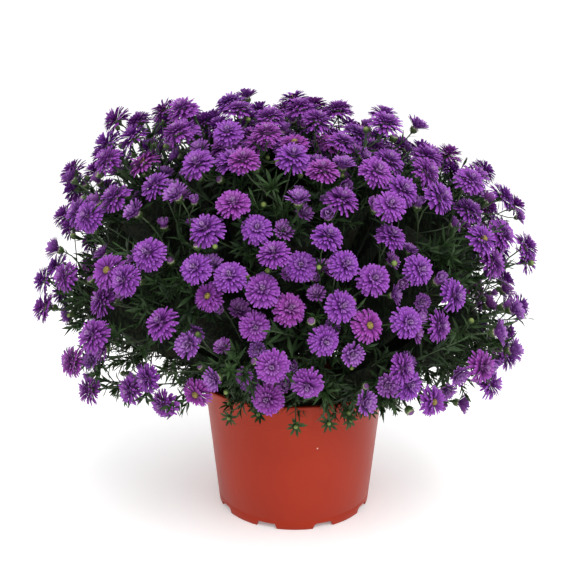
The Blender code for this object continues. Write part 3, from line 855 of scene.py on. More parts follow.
def new_shape():
    bm = bmesh.new()
    for name in CHANNELS:
        bm.verts.layers.float.new(name)
    return bm


def mark(bm, verts, **values):
    """Writes values into the channels of some corners."""
    for name, value in values.items():
        layer = bm.verts.layers.float[name]
        for v in verts:
            v[layer] = value


def facing(place, towards, across):
    """A frame at a place: Z looks towards a direction and X lies near the one across."""
    z = unit(towards)
    x = unit(across - z * (across @ z))
    turn = Matrix((Vector(x), Vector(np.cross(z, x)), Vector(z))).transposed()
    return Matrix.Translation(Vector(place)) @ turn.to_4x4()


def line_frames(line, across):
    """A frame at each point of a line, halfway between the directions on its two sides."""
    steps = [unit(upper - lower) for lower, upper in zip(line, line[1:])]
    aims = [steps[0]] + [unit(a + b) for a, b in zip(steps, steps[1:])] + [steps[-1]]
    return [facing(place, aim, across) for place, aim in zip(line, aims)]


def sweep(bm, line, across, widths, backs, sides=3, finish=0):
    """A closed blade or rod. Its half width and its depth are given at each point of the line."""
    line = [np.asarray(point, float) for point in line]
    rings = [
        frame @ Matrix.Diagonal((width, back, 1, 1))
        for frame, width, back in zip(line_frames(line, across), widths, backs)
    ]
    corners = bmesh.ops.create_circle(bm, cap_ends=True, segments=sides, radius=1, matrix=rings[0])["verts"]
    tip = corners[0].link_faces[0]
    tip.material_index = finish
    for v in tip.verts:
        mark(bm, [v], along=0.0, across=(rings[0].inverted() @ v.co).x)
    for n, (before, after) in enumerate(zip(rings, rings[1:])):
        if n == 0:
            grown = bmesh.ops.extrude_face_region(bm, geom=[tip])["geom"]
            tip = next(part for part in grown if isinstance(part, bmesh.types.BMFace))
        else:
            tip = bmesh.ops.extrude_discrete_faces(bm, faces=[tip])["faces"][0]
        bmesh.ops.transform(bm, matrix=after @ before.inverted(), verts=tip.verts)
        mark(bm, tip.verts, along=(n + 1) / (len(rings) - 1))
        corners += list(tip.verts)
    return corners


def shade(bm, sharp):
    """Smooth faces, with a hard edge wherever two of them meet at more than an angle."""
    for face in bm.faces:
        face.smooth = True
    for side in bm.edges:
        side.smooth = side.calc_face_angle(0) < sharp


def close_shape(name, bm):
    """Turns the faces outwards, marks the sharp edges and keeps the shape as a mesh."""
    bmesh.ops.recalc_face_normals(bm, faces=bm.faces)
    shade(bm, SHARP)
    mesh = bpy.data.meshes.new(name)
    bm.to_mesh(mesh)
    bm.free()
    return mesh


def triangles(mesh):
    return sum(len(face.vertices) - 2 for face in mesh.polygons)


def stamp(bm, shape, matrix, tone):
    """Adds a copy of a kept shape to a piece, in its place and with its own tone."""
    first = len(bm.verts)
    bm.from_mesh(shape, face_normals=False, vertex_normals=False)
    bm.verts.ensure_lookup_table()
    added = bm.verts[first:]
    bmesh.ops.transform(bm, matrix=matrix, verts=added)
    mark(bm, added, tone=tone)


print("channels that a shape carries", CHANNELS)

# %% [markdown]
# ## A petal and a bloom
# This aster is double: five rings of strap petals, the outer ones spread flat and the
# inner ones shorter and steeper, round a small eye. A petal is a line of three points in the
# plane that stands on the bloom's axis, swept with a three-cornered ring, flat above and keeled
# below. A bloom is made once for each of a few kinds and stamped on every stalk.

# %% Petal and bloom shapes
SHAPE_RADIUS = 13 * MM
PETAL_STATIONS = (0.0, 0.72, 1.0)
PETAL_WIDTHS = (0.01, 1.0, 0.6)
PETAL_BACKS = (0.01, 0.34, 0.16)
# Corners nearer than this become one, which gives a petal and a leaf a sharp point.
POINT = 0.03
PETAL_STRAY = 0.22
PETAL_LEAN = 5
PETAL_ROLL = 0.12
CORNER = 2 / math.sqrt(3)


def petal_line(start, length, angles):
    """Points of a petal in the XZ plane. Its slant goes from the first angle to the last."""
    points = [np.array([start[0], 0.0, start[1]])]
    for lower, upper in zip(PETAL_STATIONS, PETAL_STATIONS[1:]):
        slant = np.interp((lower + upper) / 2, (0, 1), angles) * DEGREES
        step = (upper - lower) * length
        points.append(points[-1] + step * np.array([math.cos(slant), 0, math.sin(slant)]))
    return points


def add_petal_ring(bm, rng, first_turn, count, length, width, start, angles, inner):
    """One ring of petals. Sizes are in millimetres, angles in degrees above the flat."""
    for n in range(count):
        turn = first_turn + (n + rng.uniform(-PETAL_STRAY, PETAL_STRAY)) * 2 * math.pi / count
        lean = rng.gauss(0, PETAL_LEAN)
        slants = (angles[0] + lean, angles[1] + 1.6 * lean)
        line = petal_line(start, length * rng.uniform(0.9, 1.04), slants)
        half = width / 2 * CORNER * rng.uniform(0.92, 1.08)
        corners = sweep(bm, line, np.array([0.0, -1.0, 0.0]), [half * w for w in PETAL_WIDTHS], PETAL_BACKS)
        roll = Matrix.Rotation(turn, 4, "Z") @ Matrix.Rotation(rng.gauss(0, PETAL_ROLL), 4, "X")
        bmesh.ops.transform(bm, matrix=roll, verts=corners)
        mark(bm, corners, inner=inner)


def add_eye(bm, radius, height, base, colour):
    """The small dome of florets in the middle of a bloom, in the second finish of its piece."""
    place = Matrix.Translation((0, 0, base)) @ Matrix.Diagonal((radius, radius, height, 1))
    dome = bmesh.ops.create_uvsphere(bm, u_segments=8, v_segments=5, radius=1, matrix=place)["verts"]
    mark(bm, dome, inner=colour)
    for face in set(face for v in dome for face in v.link_faces):
        face.material_index = 1


def bloom_shape(name, seed, rings, eye):
    rng = random.Random(seed)
    bm = new_shape()
    for ring in rings:
        add_petal_ring(bm, rng, rng.uniform(0, 1), *ring)
    bmesh.ops.remove_doubles(bm, verts=bm.verts, dist=POINT)
    add_eye(bm, *eye)
    bmesh.ops.scale(bm, vec=(MM, MM, MM), verts=bm.verts)
    return close_shape(name, bm)


# Each ring: how many petals, their length and width, where they start (out and up), their first
# and last slant, and how near the ring is to the middle, from 0 to 1.
OPEN_RINGS = (
    (34, 12.8, 2.4, (1.4, -2.4), (6, -26), 0.0),
    (30, 12.0, 2.3, (1.2, -1.4), (24, -8), 0.2),
    (25, 10.2, 2.1, (1.0, -0.6), (42, 10), 0.45),
    (18, 7.9, 1.9, (0.7, 0.1), (60, 36), 0.7),
    (11, 5.6, 1.6, (0.4, 0.6), (78, 82), 1.0),
)
OLD_RINGS = (
    (30, 12.6, 2.4, (1.4, -2.0), (4, -30), 0.0),
    (27, 11.4, 2.3, (1.3, -1.2), (20, -14), 0.2),
    (21, 8.6, 2.1, (1.3, -0.4), (40, 8), 0.45),
)
HALF_OPEN_RINGS = (
    (24, 11.4, 2.4, (1.2, -2.0), (50, 24), 0.68),
    (20, 9.6, 2.2, (0.9, -1.2), (64, 44), 0.75),
    (12, 7.2, 1.9, (0.6, -0.6), (78, 74), 0.9),
)
CUP_RINGS = (
    (14, 6.6, 2.2, (1.7, -1.4), (60, 80), 0.72),
    (10, 6.0, 1.9, (0.9, -1.2), (76, 92), 0.85),
)
LILAC, YELLOW = 2.0, 3.0
SMALL_EYE = (1.6, 1.8, 1.0, LILAC)
WIDE_EYE = (3.1, 2.0, 0.6, YELLOW)

open_blooms = [bloom_shape(f"open_bloom_{n}", n, OPEN_RINGS, SMALL_EYE) for n in range(4)]
eyed_bloom = bloom_shape("eyed_bloom", 4, OPEN_RINGS[:3], WIDE_EYE)
old_bloom = bloom_shape("old_bloom", 5, OLD_RINGS, WIDE_EYE)
half_open_bloom = bloom_shape("half_open_bloom", 6, HALF_OPEN_RINGS, SMALL_EYE)
cup = bloom_shape("opening_cup", 7, CUP_RINGS, (1.3, 2.0, -0.6, LILAC))
print("triangles of an open bloom", triangles(open_blooms[0]))

# %% [markdown]
# ## Green cups and buds
# Under every bloom sits a cup of green scales. A closed bud is the same cup, drawn together
# over the folded petals, with a creamy edge. Both are turned: a profile is spun about the axis,
# and small pointed scales are swept on top.

# %% Cup and bud shapes
CUP_SIDES = 7
# How far out and how high each point of a profile is, in millimetres.
CUP_PROFILE = (
    (0, -7.4), (0.95, -7.3), (1.7, -6.2), (2.8, -4.6), (3.4, -3.0), (3.4, -1.8), (2.4, -1.0), (0, -0.8),
)
BUD_PROFILE = (
    (0, -4.2), (0.9, -4.1), (2.2, -3.0), (3.0, -1.2), (3.1, 0.4), (2.4, 1.9), (1.2, 2.7), (0, 2.9),
)


def add_scales(bm, count, shift, root, tip):
    """A ring of small pointed scales. Root and tip say how far out and how high each one is."""
    for n in range(count):
        turn = Matrix.Rotation((n + shift) * 2 * math.pi / count, 4, "Z")
        line = [np.array([root[0], 0, root[1]]), np.array([tip[0], 0, tip[1]])]
        corners = sweep(bm, line, np.array([0.0, -1.0, 0.0]), (1.0, 0.15), (0.35, 0.08))
        bmesh.ops.transform(bm, matrix=turn, verts=corners)
        mark(bm, corners, along=0.35)


def turned_shape(name, profile, scale_rings):
    bm = new_shape()
    points = [bm.verts.new((r, 0, z)) for r, z in profile]
    sides = [bm.edges.new(pair) for pair in zip(points, points[1:])]
    spun = points + sides
    bmesh.ops.spin(bm, geom=spun, axis=(0, 0, 1), angle=2 * math.pi, steps=CUP_SIDES, use_merge=True)
    bmesh.ops.remove_doubles(bm, verts=bm.verts, dist=0.001)
    low, high = profile[0][1], profile[-1][1]
    for v in bm.verts:
        mark(bm, [v], along=(v.co.z - low) / (high - low))
    for ring in scale_rings:
        add_scales(bm, *ring)
    for face in bm.faces:
        face.material_index = 2
    bmesh.ops.scale(bm, vec=(MM, MM, MM), verts=bm.verts)
    return close_shape(name, bm)


CUP_SCALES = ((7, 0, (2.0, -6.3), (4.2, -3.6)), (9, 0.5, (2.9, -4.7), (4.4, -1.3)))
BUD_SCALES = ((6, 0, (1.9, -3.4), (3.8, -0.6)), (7, 0.5, (2.7, -2.0), (3.8, 1.3)))
green_cup = turned_shape("green_cup", CUP_PROFILE, CUP_SCALES)
closed_bud = turned_shape("closed_bud", BUD_PROFILE, BUD_SCALES)
print("triangles of a cup", triangles(green_cup))

# %% [markdown]
# ## A leaf
# An aster's leaf is a narrow blade, broadest a little beyond its middle, keeled along the
# midrib. A long form and a plainer small one are modelled with a length and a width of 1, each
# in three bends, and every stamp gives a leaf its real size. The deep green ones inside and the
# fresh ones at the tips differ only in their tone.

# %% Leaf shapes
# Each form: how far along its stations are, and the half width and the depth at each of them.
LONG_LEAF = ((0.0, 0.28, 0.7, 1.0), (0.15, 0.44, 0.44, 0.01), (0.12, 0.11, 0.08, 0.01))
SMALL_LEAF = ((0.0, 0.5, 1.0), (0.2, 0.5, 0.01), (0.12, 0.11, 0.01))
LEAF_BENDS = (0.9, -0.4, 1.7)


def leaf_shape(name, form, bend):
    bm = new_shape()
    stations, half_widths, backs = form
    line = [np.array([0.0, bend * s * s, s]) for s in stations]
    widths = [half * CORNER for half in half_widths]
    sweep(bm, line, np.array([1.0, 0.0, 0.0]), widths, backs, finish=1)
    bmesh.ops.remove_doubles(bm, verts=bm.verts, dist=POINT)
    return close_shape(name, bm)


long_leaves = [leaf_shape(f"long_leaf_{n}", LONG_LEAF, bend) for n, bend in enumerate(LEAF_BENDS)]
small_leaves = [leaf_shape(f"small_leaf_{n}", SMALL_LEAF, bend) for n, bend in enumerate(LEAF_BENDS)]


def add_leaf(bm, shape, place, towards, upper, size, tone):
    """A leaf from a place towards a direction, with its flat side facing near the upper one."""
    length, width = size
    across = np.cross(unit(towards), unit(upper)) + np.array([1e-6, 0, 0])
    stamp(bm, shape, facing(place, towards, across) @ Matrix.Diagonal((width, width, length, 1)), tone)


print("leaf shapes", len(long_leaves), "long and", len(small_leaves), "small")

# %% [markdown]
# ## From shapes to pieces
# A finished piece is moved from the pot's axis to where that axis stands, rides on the plant's one body and
# stands for its CAD node.

# %% Finish a piece
def new_object(name, bm, *finishes):
    mesh = bpy.data.meshes.new(name)
    bm.to_mesh(mesh)
    bm.free()
    for finish in finishes:
        mesh.materials.append(finish)
    thing = bpy.data.objects.new(name, mesh)
    bpy.context.scene.collection.objects.link(thing)
    return thing


def finish_piece(name, bm, slot, node, *finishes):
    bmesh.ops.translate(bm, vec=POT_AXIS, verts=bm.verts)
    bm.normal_update()
    piece = new_object(name, bm, *finishes)
    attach(piece, "root")
    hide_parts(node)
    return triangles(piece.data)


def shade_new(bm):
    """Smooth shading for swept rods, with their faces turned outwards."""
    bmesh.ops.recalc_face_normals(bm, faces=bm.faces)
    for face in bm.faces:
        face.smooth = True


# %% [markdown]
# ## Stalks
# The stem keeps the points of its solid, with the corners cut so that it bends gently. A side
# stalk leaves the stem at a slant and turns until it meets its bloom squarely from below.

# %% Stalks
STEM_SIDES = 7
STEM_WIDTHS = (1.5 * MM, 0.9 * MM)
NECK_WIDTHS = (0.7 * MM, 0.6 * MM)
NECK_POINTS = 7
NECK_REACH = 0.33
SHOOT_WIDTHS = (0.8 * MM, 0.4 * MM)


def cut_corners(line):
    """The same line with every corner replaced by two gentler ones."""
    points = [line[0]]
    for lower, upper in zip(line, line[1:]):
        points += [lower * 0.75 + upper * 0.25, lower * 0.25 + upper * 0.75]
    return points + [line[-1]]


def neck_line(line, bloom):
    """A side stalk: straight in the solid, here a bend that arrives along the bloom's axis."""
    root, base = line
    run = base - root
    reach = float(np.linalg.norm(run)) * NECK_REACH
    leave, arrive = root + unit(run) * reach, base - bloom["face"] * reach
    return bend(root, leave, arrive, base, np.linspace(0, 1, NECK_POINTS))


def beside(line):
    """A direction square to the way that a line goes, to lay its rings by."""
    run = unit(line[-1] - line[0])
    return unit(np.cross(run, UP if abs(run[2]) < 0.95 else np.array([0.0, 1.0, 0.0])))


def add_stalk(bm, line, widths):
    radii = np.linspace(*widths, len(line))
    sweep(bm, line, beside(line), radii, radii, sides=STEM_SIDES)


def stalk_lines(spray):
    lines = [cut_corners(spray["lines"][0])]
    return lines + [neck_line(*pair) for pair in zip(spray["lines"][1:], spray["blooms"][1:])]


print("points of a stem", len(stalk_lines(sprays[0])[0]), "and of a side stalk", NECK_POINTS)

# %% [markdown]
# ## Leaves along a stalk
# Small leaves climb every flower stalk, turned from one to the next by the golden angle. On a
# leafy shoot they stand closer and longer, and end in a bunch at its tip.

# %% Leaves along a stalk
STALK_LEAVES = {
    "from": 4 * MM, "to": 62 * MM, "step": 10 * MM, "lengths": (7 * MM, 15 * MM), "slants": (0.6, 1.0),
}
SHOOT_LEAVES = {
    "from": 0.0, "to": 70 * MM, "step": 3.6 * MM, "lengths": (9 * MM, 21 * MM), "slants": (0.35, 0.95),
}
LEAF_SLIMNESS = (0.16, 0.23)
TUFT_LEAF_WIDTH = 2.8 * MM
SHOOT_END = 6 * MM
TUFT_WHORLS = ((7, 0.95, 19 * MM), (7, 0.62, 18 * MM), (5, 0.28, 13 * MM))


def partway(pair, share):
    """The value that lies a share of the way from the first of a pair to the second."""
    return pair[0] + (pair[1] - pair[0]) * share


def leafy(bm, rng, line, rule):
    """Leaves along a line, from its tip back: short and steep first, longer and flatter below."""
    back, turn = rule["from"], rng.uniform(0, 6)
    length_of_line = line_length(line)
    while back < min(rule["to"], length_of_line - 4 * MM):
        place = back_along(line, back)
        ahead = unit(line[-1] - line[-2])
        if back > 2 * MM:
            ahead = unit(back_along(line, back - 2 * MM) - place)
        share = min(1.0, back / (20 * MM))
        slant = partway(rule["slants"], share) + rng.gauss(0, 0.1)
        side = Matrix.Rotation(turn, 3, Vector(ahead)) @ Vector(unit(np.cross(ahead, [0.2, 0.3, 0.93])))
        towards = ahead * math.cos(slant) + np.array(side) * math.sin(slant)
        length = partway(rule["lengths"], share) * rng.uniform(0.8, 1.15)
        fresh = (1 - share) * 0.55 + rng.uniform(0, 0.45)
        size = (length, length * rng.uniform(*LEAF_SLIMNESS))
        add_leaf(bm, rng.choice(small_leaves), place, towards, ahead, size, fresh)
        back += rule["step"] * rng.uniform(0.7, 1.3)
        turn += GOLDEN_TURN


def add_shoot(bm, rng, root, tip):
    """A leafy shoot in the place of one blade of the solid."""
    line = [np.asarray(point) for point in np.linspace(root, tip - unit(tip - root) * SHOOT_END, 5)]
    leafy(bm, rng, line, SHOOT_LEAVES)


def add_whorl(bm, rng, base, ahead, whorl):
    """A star of leaves round the end of a shoot: how many, their slant and their length."""
    count, slant, length = whorl
    side = unit(np.cross(ahead, [0.3, 0.2, 0.93]))
    for n in range(count):
        turn = (n + rng.uniform(-0.3, 0.3)) * 2 * math.pi / count
        out = np.array(Matrix.Rotation(turn, 3, Vector(ahead)) @ Vector(side))
        towards = ahead * math.cos(slant) + out * math.sin(slant)
        size = (length * rng.uniform(0.8, 1.1), TUFT_LEAF_WIDTH)
        add_leaf(bm, rng.choice(long_leaves), base, towards, ahead, size, rng.uniform(0.5, 1))


def add_tuft(bm, rng, bloom):
    """Three whorls of leaves where a shoot has not flowered."""
    base = bloom["place"] - bloom["face"] * BLOOM_BACK
    for whorl in TUFT_WHORLS:
        add_whorl(bm, rng, base, bloom["face"], whorl)


print("leaf rules", STALK_LEAVES["step"], SHOOT_LEAVES["step"])

# %% [markdown]
# ## The old growth and the sprigs on it
# The core of each solid becomes a dark knot of old growth with an uneven skin, its near-black colour partly
# painted shade for the dense inside. It is smaller than in the solid, and most of all low down, because
# leafy sprigs stand on it. A sprig is a short twig with small leaves set round it. It is made once in a few
# forms and stamped where a core looks out of the dome. The faces deep inside carry none.

# %% Sprig shapes
SPRIG_LENGTH = 20 * MM
# How far a sprig's leaves reach, in lengths of its twig.
SPRIG_SPAN = 1.4
SPRIG_LEAVES = 12
SPRIG_LEAF_LENGTHS = (8 * MM, 13 * MM)
SPRIG_LEAF_WIDTHS = (1.9 * MM, 2.8 * MM)
SPRIG_SLANTS = (0.25, 1.15)


def sprig_shape(name, seed):
    """A twig along Z with leaves round it, close and steep at its tip, flatter lower down."""
    rng = random.Random(seed)
    bm = new_shape()
    twig = [UP * share * SPRIG_LENGTH for share in (0.0, 1.0)]
    sweep(bm, twig, np.array([1.0, 0.0, 0.0]), (0.7 * MM, 0.4 * MM), (0.7 * MM, 0.4 * MM))
    for n in range(SPRIG_LEAVES):
        down = n / (SPRIG_LEAVES - 1)
        slant = partway(SPRIG_SLANTS, down) + rng.gauss(0, 0.1)
        towards = aim_at(slant, n * GOLDEN_TURN + rng.gauss(0, 0.2))
        place = UP * SPRIG_LENGTH * (1 - 0.8 * down)
        size = (rng.uniform(*SPRIG_LEAF_LENGTHS), rng.uniform(*SPRIG_LEAF_WIDTHS))
        add_leaf(bm, rng.choice(small_leaves), place, towards, UP, size, 0.0)
    return close_shape(name, bm)


sprigs = [sprig_shape(f"sprig_{n}", n) for n in range(4)]
print("triangles of a sprig", triangles(sprigs[0]))

# %% Old growth
CORE_CUTS = 3
CORE_BUMPS = 3 * MM
COARSE_BUMPS, FINE_BUMPS = 90, 210
CORE_SHRINK, LOW_SHRINK = 0.9, 0.66
LOW_CORE = CENTRE[2] + 15 * MM
SPRIG_GROUND = 100 * MM * MM
SPRIG_SIZES = (0.8, 1.3)
DEEPEST_SPRIG = 70 * MM
SPRIG_STRAY = 0.35
SPRIG_FIT = 0.62
SPRIG_ROOT = 2 * MM


def core_shape(name, spray):
    bm = new_shape()
    rings, stem = spray["core"], spray["lines"][0]
    bmesh.ops.create_uvsphere(bm, u_segments=CORE_SIDES, v_segments=len(rings) + 1, radius=1)
    poles = sorted(bm.verts, key=lambda v: v.co.z)
    for pole, share in zip((poles[0], poles[-1]), CORE_ENDS):
        pole.co = Vector(back_along(stem, share * line_length(stem)))
    for n, ring in enumerate(rings):
        level = poles[1 + n * CORE_SIDES : 1 + (n + 1) * CORE_SIDES]
        level.sort(key=lambda v: math.atan2(v.co.y, v.co.x))
        middle = sum(ring) / len(ring)
        shrink = LOW_SHRINK if middle[2] < LOW_CORE else CORE_SHRINK
        for v, corner in zip(level, ring):
            v.co = Vector(middle + (corner - middle) * shrink)
    bmesh.ops.recalc_face_normals(bm, faces=bm.faces)
    bmesh.ops.subdivide_edges(bm, edges=bm.edges, cuts=CORE_CUTS, use_grid_fill=True)
    bm.normal_update()
    for v in bm.verts:
        bump = noise.noise(v.co * COARSE_BUMPS) + 0.5 * noise.noise(v.co * FINE_BUMPS)
        v.co += v.normal * CORE_BUMPS * (bump - 0.5)
    for face in bm.faces:
        face.material_index = 3
    return close_shape(name, bm)


def open_ground(face, centre):
    """How much of a core's face looks out of the dome. Nothing deep inside counts."""
    if depth_in_dome(centre) > DEEPEST_SPRIG:
        return 0.0
    return face.area * max(0.0, float(np.array(face.normal) @ unit(centre - CENTRE)))


def core_sprigs(bm, rng, core):
    """Sprigs that stand out of the outer faces of a core, the more the more of it shows."""
    faces = sorted(core.polygons, key=lambda face: [round(part / MM, 2) for part in face.center])
    centres = [np.array(face.center) for face in faces]
    weights = [open_ground(face, centre) for face, centre in zip(faces, centres)]
    wanted = round(sum(weights) / SPRIG_GROUND)
    if not wanted:
        return 0
    made = 0
    for index in rng.choices(range(len(centres)), weights, k=wanted):
        face, place = faces[index], centres[index]
        stray = np.array([rng.gauss(0, SPRIG_STRAY) for _ in range(3)])
        outward = unit(place - CENTRE)
        towards = unit(np.array(face.normal) * 0.5 + outward * 0.7 + UP * 0.15 + stray)
        size = min(rng.uniform(*SPRIG_SIZES), depth_in_dome(place) / SPRIG_LENGTH * SPRIG_FIT)
        tip = place + towards * SPRIG_LENGTH * SPRIG_SPAN * size
        if crowd.in_bloom(np.array([tip])) or hits_pot(tip, 2 * MM):
            continue
        turn = aim_at(math.pi / 2, rng.uniform(0, 2 * math.pi))
        matrix = facing(place - towards * SPRIG_ROOT, towards, turn) @ Matrix.Scale(size, 4)
        stamp(bm, rng.choice(sprigs), matrix, rng.uniform(0.0, 0.75))
        made += 1
    return made


print("core with a sprig on each", round(SPRIG_GROUND * 1e6), "square mm")

# %% [markdown]
# ## Twigs of the lower edge
# Under the dome the plant is thin and lets the light through: each low flower stalk carries a
# few leafy side twigs there, which hang past the blooms.

# %% Twigs of the lower edge
TWIGS_PER_STALK = 3
TWIG_BACKS = (8 * MM, 46 * MM)
TWIG_SLANTS = (0.5, 1.1)


def add_low_twigs(bm, rng, line):
    """Sprigs forked from a low flower stalk, where they are clear of blooms and pot."""
    for _ in range(TWIGS_PER_STALK):
        root = back_along(line, rng.uniform(*TWIG_BACKS))
        ahead = unit(line[-1] - root)
        towards = unit(slanted(ahead, rng.uniform(*TWIG_SLANTS), rng) - UP * 0.25)
        size = rng.uniform(*SPRIG_SIZES)
        tip = root + towards * SPRIG_LENGTH * SPRIG_SPAN * size
        if crowd.in_bloom(np.array([tip])) or hits_pot(tip, 2 * MM) or depth_in_dome(tip) < -6 * MM:
            continue
        turn = aim_at(math.pi / 2, rng.uniform(0, 2 * math.pi))
        matrix = facing(root, towards, turn) @ Matrix.Scale(size, 4)
        stamp(bm, rng.choice(sprigs), matrix, rng.uniform(0.35, 1.0))


print("twigs on a low stalk", TWIGS_PER_STALK)

# %% [markdown]
# ## Shoots over the rim
# Round the pot some leafy shoots of the lowest sprays hang out over the rim, each with a green
# bud at its tip. They leave the stem low down, clear the lip and dip in front of the wall.

# %% Shoots over the rim
RIM_SHOOTS = 4
RIM_SPRAYS_FROM = 22
RIM_TURNS = 0.42
RIM_ROOT = 0.72
RIM_WIDTHS = (0.8 * MM, 0.5 * MM)
RIM_LEAVES = {
    "from": 1 * MM, "to": 60 * MM, "step": 2.6 * MM, "lengths": (7 * MM, 12 * MM), "slants": (0.9, 1.15),
}
RIM_WHORL = (9, 1.2, 10 * MM)


def rim_line(rng, stem):
    """A shoot's points: off the stem, up over the lip and a little down in front of the wall."""
    turn = math.atan2(stem[2][1], stem[2][0]) + rng.uniform(-RIM_TURNS, RIM_TURNS)
    out = aim_at(math.pi / 2, turn)
    root = back_along(stem, line_length(stem) * RIM_ROOT)
    over = out * (LIP_RADIUS - 4 * MM) + UP * (POT_HEIGHT + rng.uniform(10, 18) * MM)
    ahead = out * (LIP_RADIUS + 9 * MM) + UP * (POT_HEIGHT + rng.uniform(4, 11) * MM)
    tip = out * (LIP_RADIUS + rng.uniform(13, 24) * MM) + UP * (POT_HEIGHT + rng.uniform(-10, 8) * MM)
    return cut_corners([root, over, ahead, tip])


def add_rim_shoots(bm, rng, stem):
    for _ in range(RIM_SHOOTS):
        line = rim_line(rng, stem)
        add_stalk(bm, line, RIM_WIDTHS)
        leafy(bm, rng, line, RIM_LEAVES)
        ahead = unit(line[-1] - line[-2] + UP * 4 * MM)
        add_whorl(bm, rng, line[-1] - ahead * 2 * MM, ahead, RIM_WHORL)
        place = facing(line[-1], ahead, np.array([1.0, 0.1, 0.2]))
        stamp(bm, closed_bud, place @ Matrix.Scale(rng.uniform(0.55, 0.8), 4), 0.0)


print("shoots over the rim", RIM_SHOOTS * (SPRAYS - RIM_SPRAYS_FROM))

# %% [markdown]
# ## Buds and young blooms
# Between the open blooms sit younger ones. Small half-open blooms stand a little deeper and
# fill the gaps, and there are green buds, buds with a creamy edge and cups that are just
# opening. Each stands on a short stalk of its own, forked from a flower stalk, where it is
# clear of its neighbours.

# %% Buds and young blooms
BUD = {
    "chance": 0.8, "room": 3 * MM, "backs": (10 * MM, 30 * MM), "reaches": (13 * MM, 25 * MM), "tries": 4,
}
YOUNG = {
    "chance": 0.5, "room": 7 * MM, "backs": (12 * MM, 44 * MM), "reaches": (14 * MM, 30 * MM), "tries": 14,
}
SHORTEST_FORKED = 34 * MM
BUD_SHARES = (0.28, 0.52)
YOUNG_SIZES = (0.66, 0.95)
SIDE_STALK_RADIUS = 0.5 * MM
BUD_BACK = 3 * MM
SIX_WAYS = np.vstack([np.eye(3), -np.eye(3)])
taken = []


def free_spot(rng, line, rule):
    """A root and a tip for a side stalk, or None where there is no room."""
    room = rule["room"]
    if line_length(line) < SHORTEST_FORKED or rng.random() > rule["chance"]:
        return None
    for _ in range(rule["tries"]):
        root = back_along(line, rng.uniform(*rule["backs"]))
        ahead = unit(line[-1] - root)
        tip = root + slanted(ahead, rng.uniform(0.5, 1.0), rng) * rng.uniform(*rule["reaches"])
        if depth_in_dome(tip) < room or hits_pot(tip, room):
            continue
        if any(np.linalg.norm(tip - other) < room + reach for other, reach in taken):
            continue
        if not crowd.in_bloom(np.vstack([tip + SIX_WAYS * room, tip, (root + tip) / 2])):
            taken.append((tip, room))
            return root, tip
    return None


def side_stalk(greens, root, tip):
    """A short stalk to a bud. Returns the frame that the bud stands in."""
    face = unit(unit(tip - root) + unit(tip - CENTRE) * 0.6 + UP * 0.3)
    base = tip - face * BUD_BACK
    line = [root, root * 0.4 + base * 0.6 - UP * MM, base]
    radii = [SIDE_STALK_RADIUS] * len(line)
    sweep(greens, line, beside(line), radii, radii, sides=5)
    return facing(tip, face, np.array([1.0, 0.1, 0.2]))


def add_bud(greens, flowers, rng, place):
    kind = rng.random()
    if kind < BUD_SHARES[0]:
        stamp(greens, closed_bud, place @ Matrix.Scale(rng.uniform(0.6, 0.85), 4), 0.0)
    elif kind < BUD_SHARES[1]:
        stamp(greens, closed_bud, place @ Matrix.Scale(rng.uniform(0.95, 1.25), 4), 1.0)
    else:
        size = Matrix.Scale(rng.uniform(0.9, 1.5), 4)
        stamp(greens, green_cup, place @ size @ Matrix.Scale(0.85, 4), 1.0)
        stamp(flowers, cup, place @ size, rng.uniform(0, 0.6))


def add_young(greens, flowers, rng, place):
    size = Matrix.Scale(rng.uniform(*YOUNG_SIZES), 4)
    stamp(greens, green_cup, place @ size @ Matrix.Scale(0.9, 4), 1.0)
    stamp(flowers, half_open_bloom, place @ size, rng.uniform(0, 0.6))


def add_buds(greens, flowers, rng, lines):
    """Forks young blooms and buds off the stalks of a spray and says how many of each."""
    made = [0, 0]
    for line in lines:
        for n, (rule, add) in enumerate(((YOUNG, add_young), (BUD, add_bud))):
            spot = free_spot(rng, line, rule)
            if spot:
                add(greens, flowers, rng, side_stalk(greens, *spot))
                made[n] += 1
    return made


print("chance of a bud on each stalk", BUD["chance"], "and of a young bloom", YOUNG["chance"])

# %% [markdown]
# ## The sprays
# Each spray becomes two pieces: its flowers and its greens. The blooms stand in the places and
# face the ways of the stars of the solid, at their sizes. Most are fully open, some are half
# open, and a few are old, with a wide yellow eye and a pinker tone.

# %% Blooms of a spray
KINDS = (("open", 0.80), ("eyed", 0.10), ("old", 0.04), ("half", 0.06))
LOW_KINDS = (("open", 0.62), ("eyed", 0.04), ("old", 0.02), ("half", 0.32))
LOW_BLOOMS = CENTRE[2] - 10 * MM
VIOLET_SHARE = 0.88


def pick_bloom(rng, low):
    """One of the kept bloom shapes and a tone: most are violet, old ones are pink."""
    kinds = LOW_KINDS if low else KINDS
    kind = rng.choices([name for name, _ in kinds], [share for _, share in kinds])[0]
    tone = rng.uniform(0, 0.55) if rng.random() < VIOLET_SHARE else rng.uniform(0.7, 1.0)
    if kind == "open":
        return rng.choice(open_blooms), tone
    return {"eyed": (eyed_bloom, tone), "old": (old_bloom, 1.0), "half": (half_open_bloom, 0.2)}[kind]


def add_bloom(flowers, greens, rng, bloom):
    shape, tone = pick_bloom(rng, bloom["place"][2] < LOW_BLOOMS)
    across = np.array(Matrix.Rotation(rng.uniform(0, 6.3), 3, "Z") @ Vector((1, 0, 0.05)))
    place = facing(bloom["place"], bloom["face"], across)
    size = bloom["radius"] / SHAPE_RADIUS
    height = Matrix.Diagonal((size, size, size * rng.uniform(0.9, 1.15), 1))
    stamp(flowers, shape, place @ height, tone)
    stamp(greens, green_cup, place, 1.0)


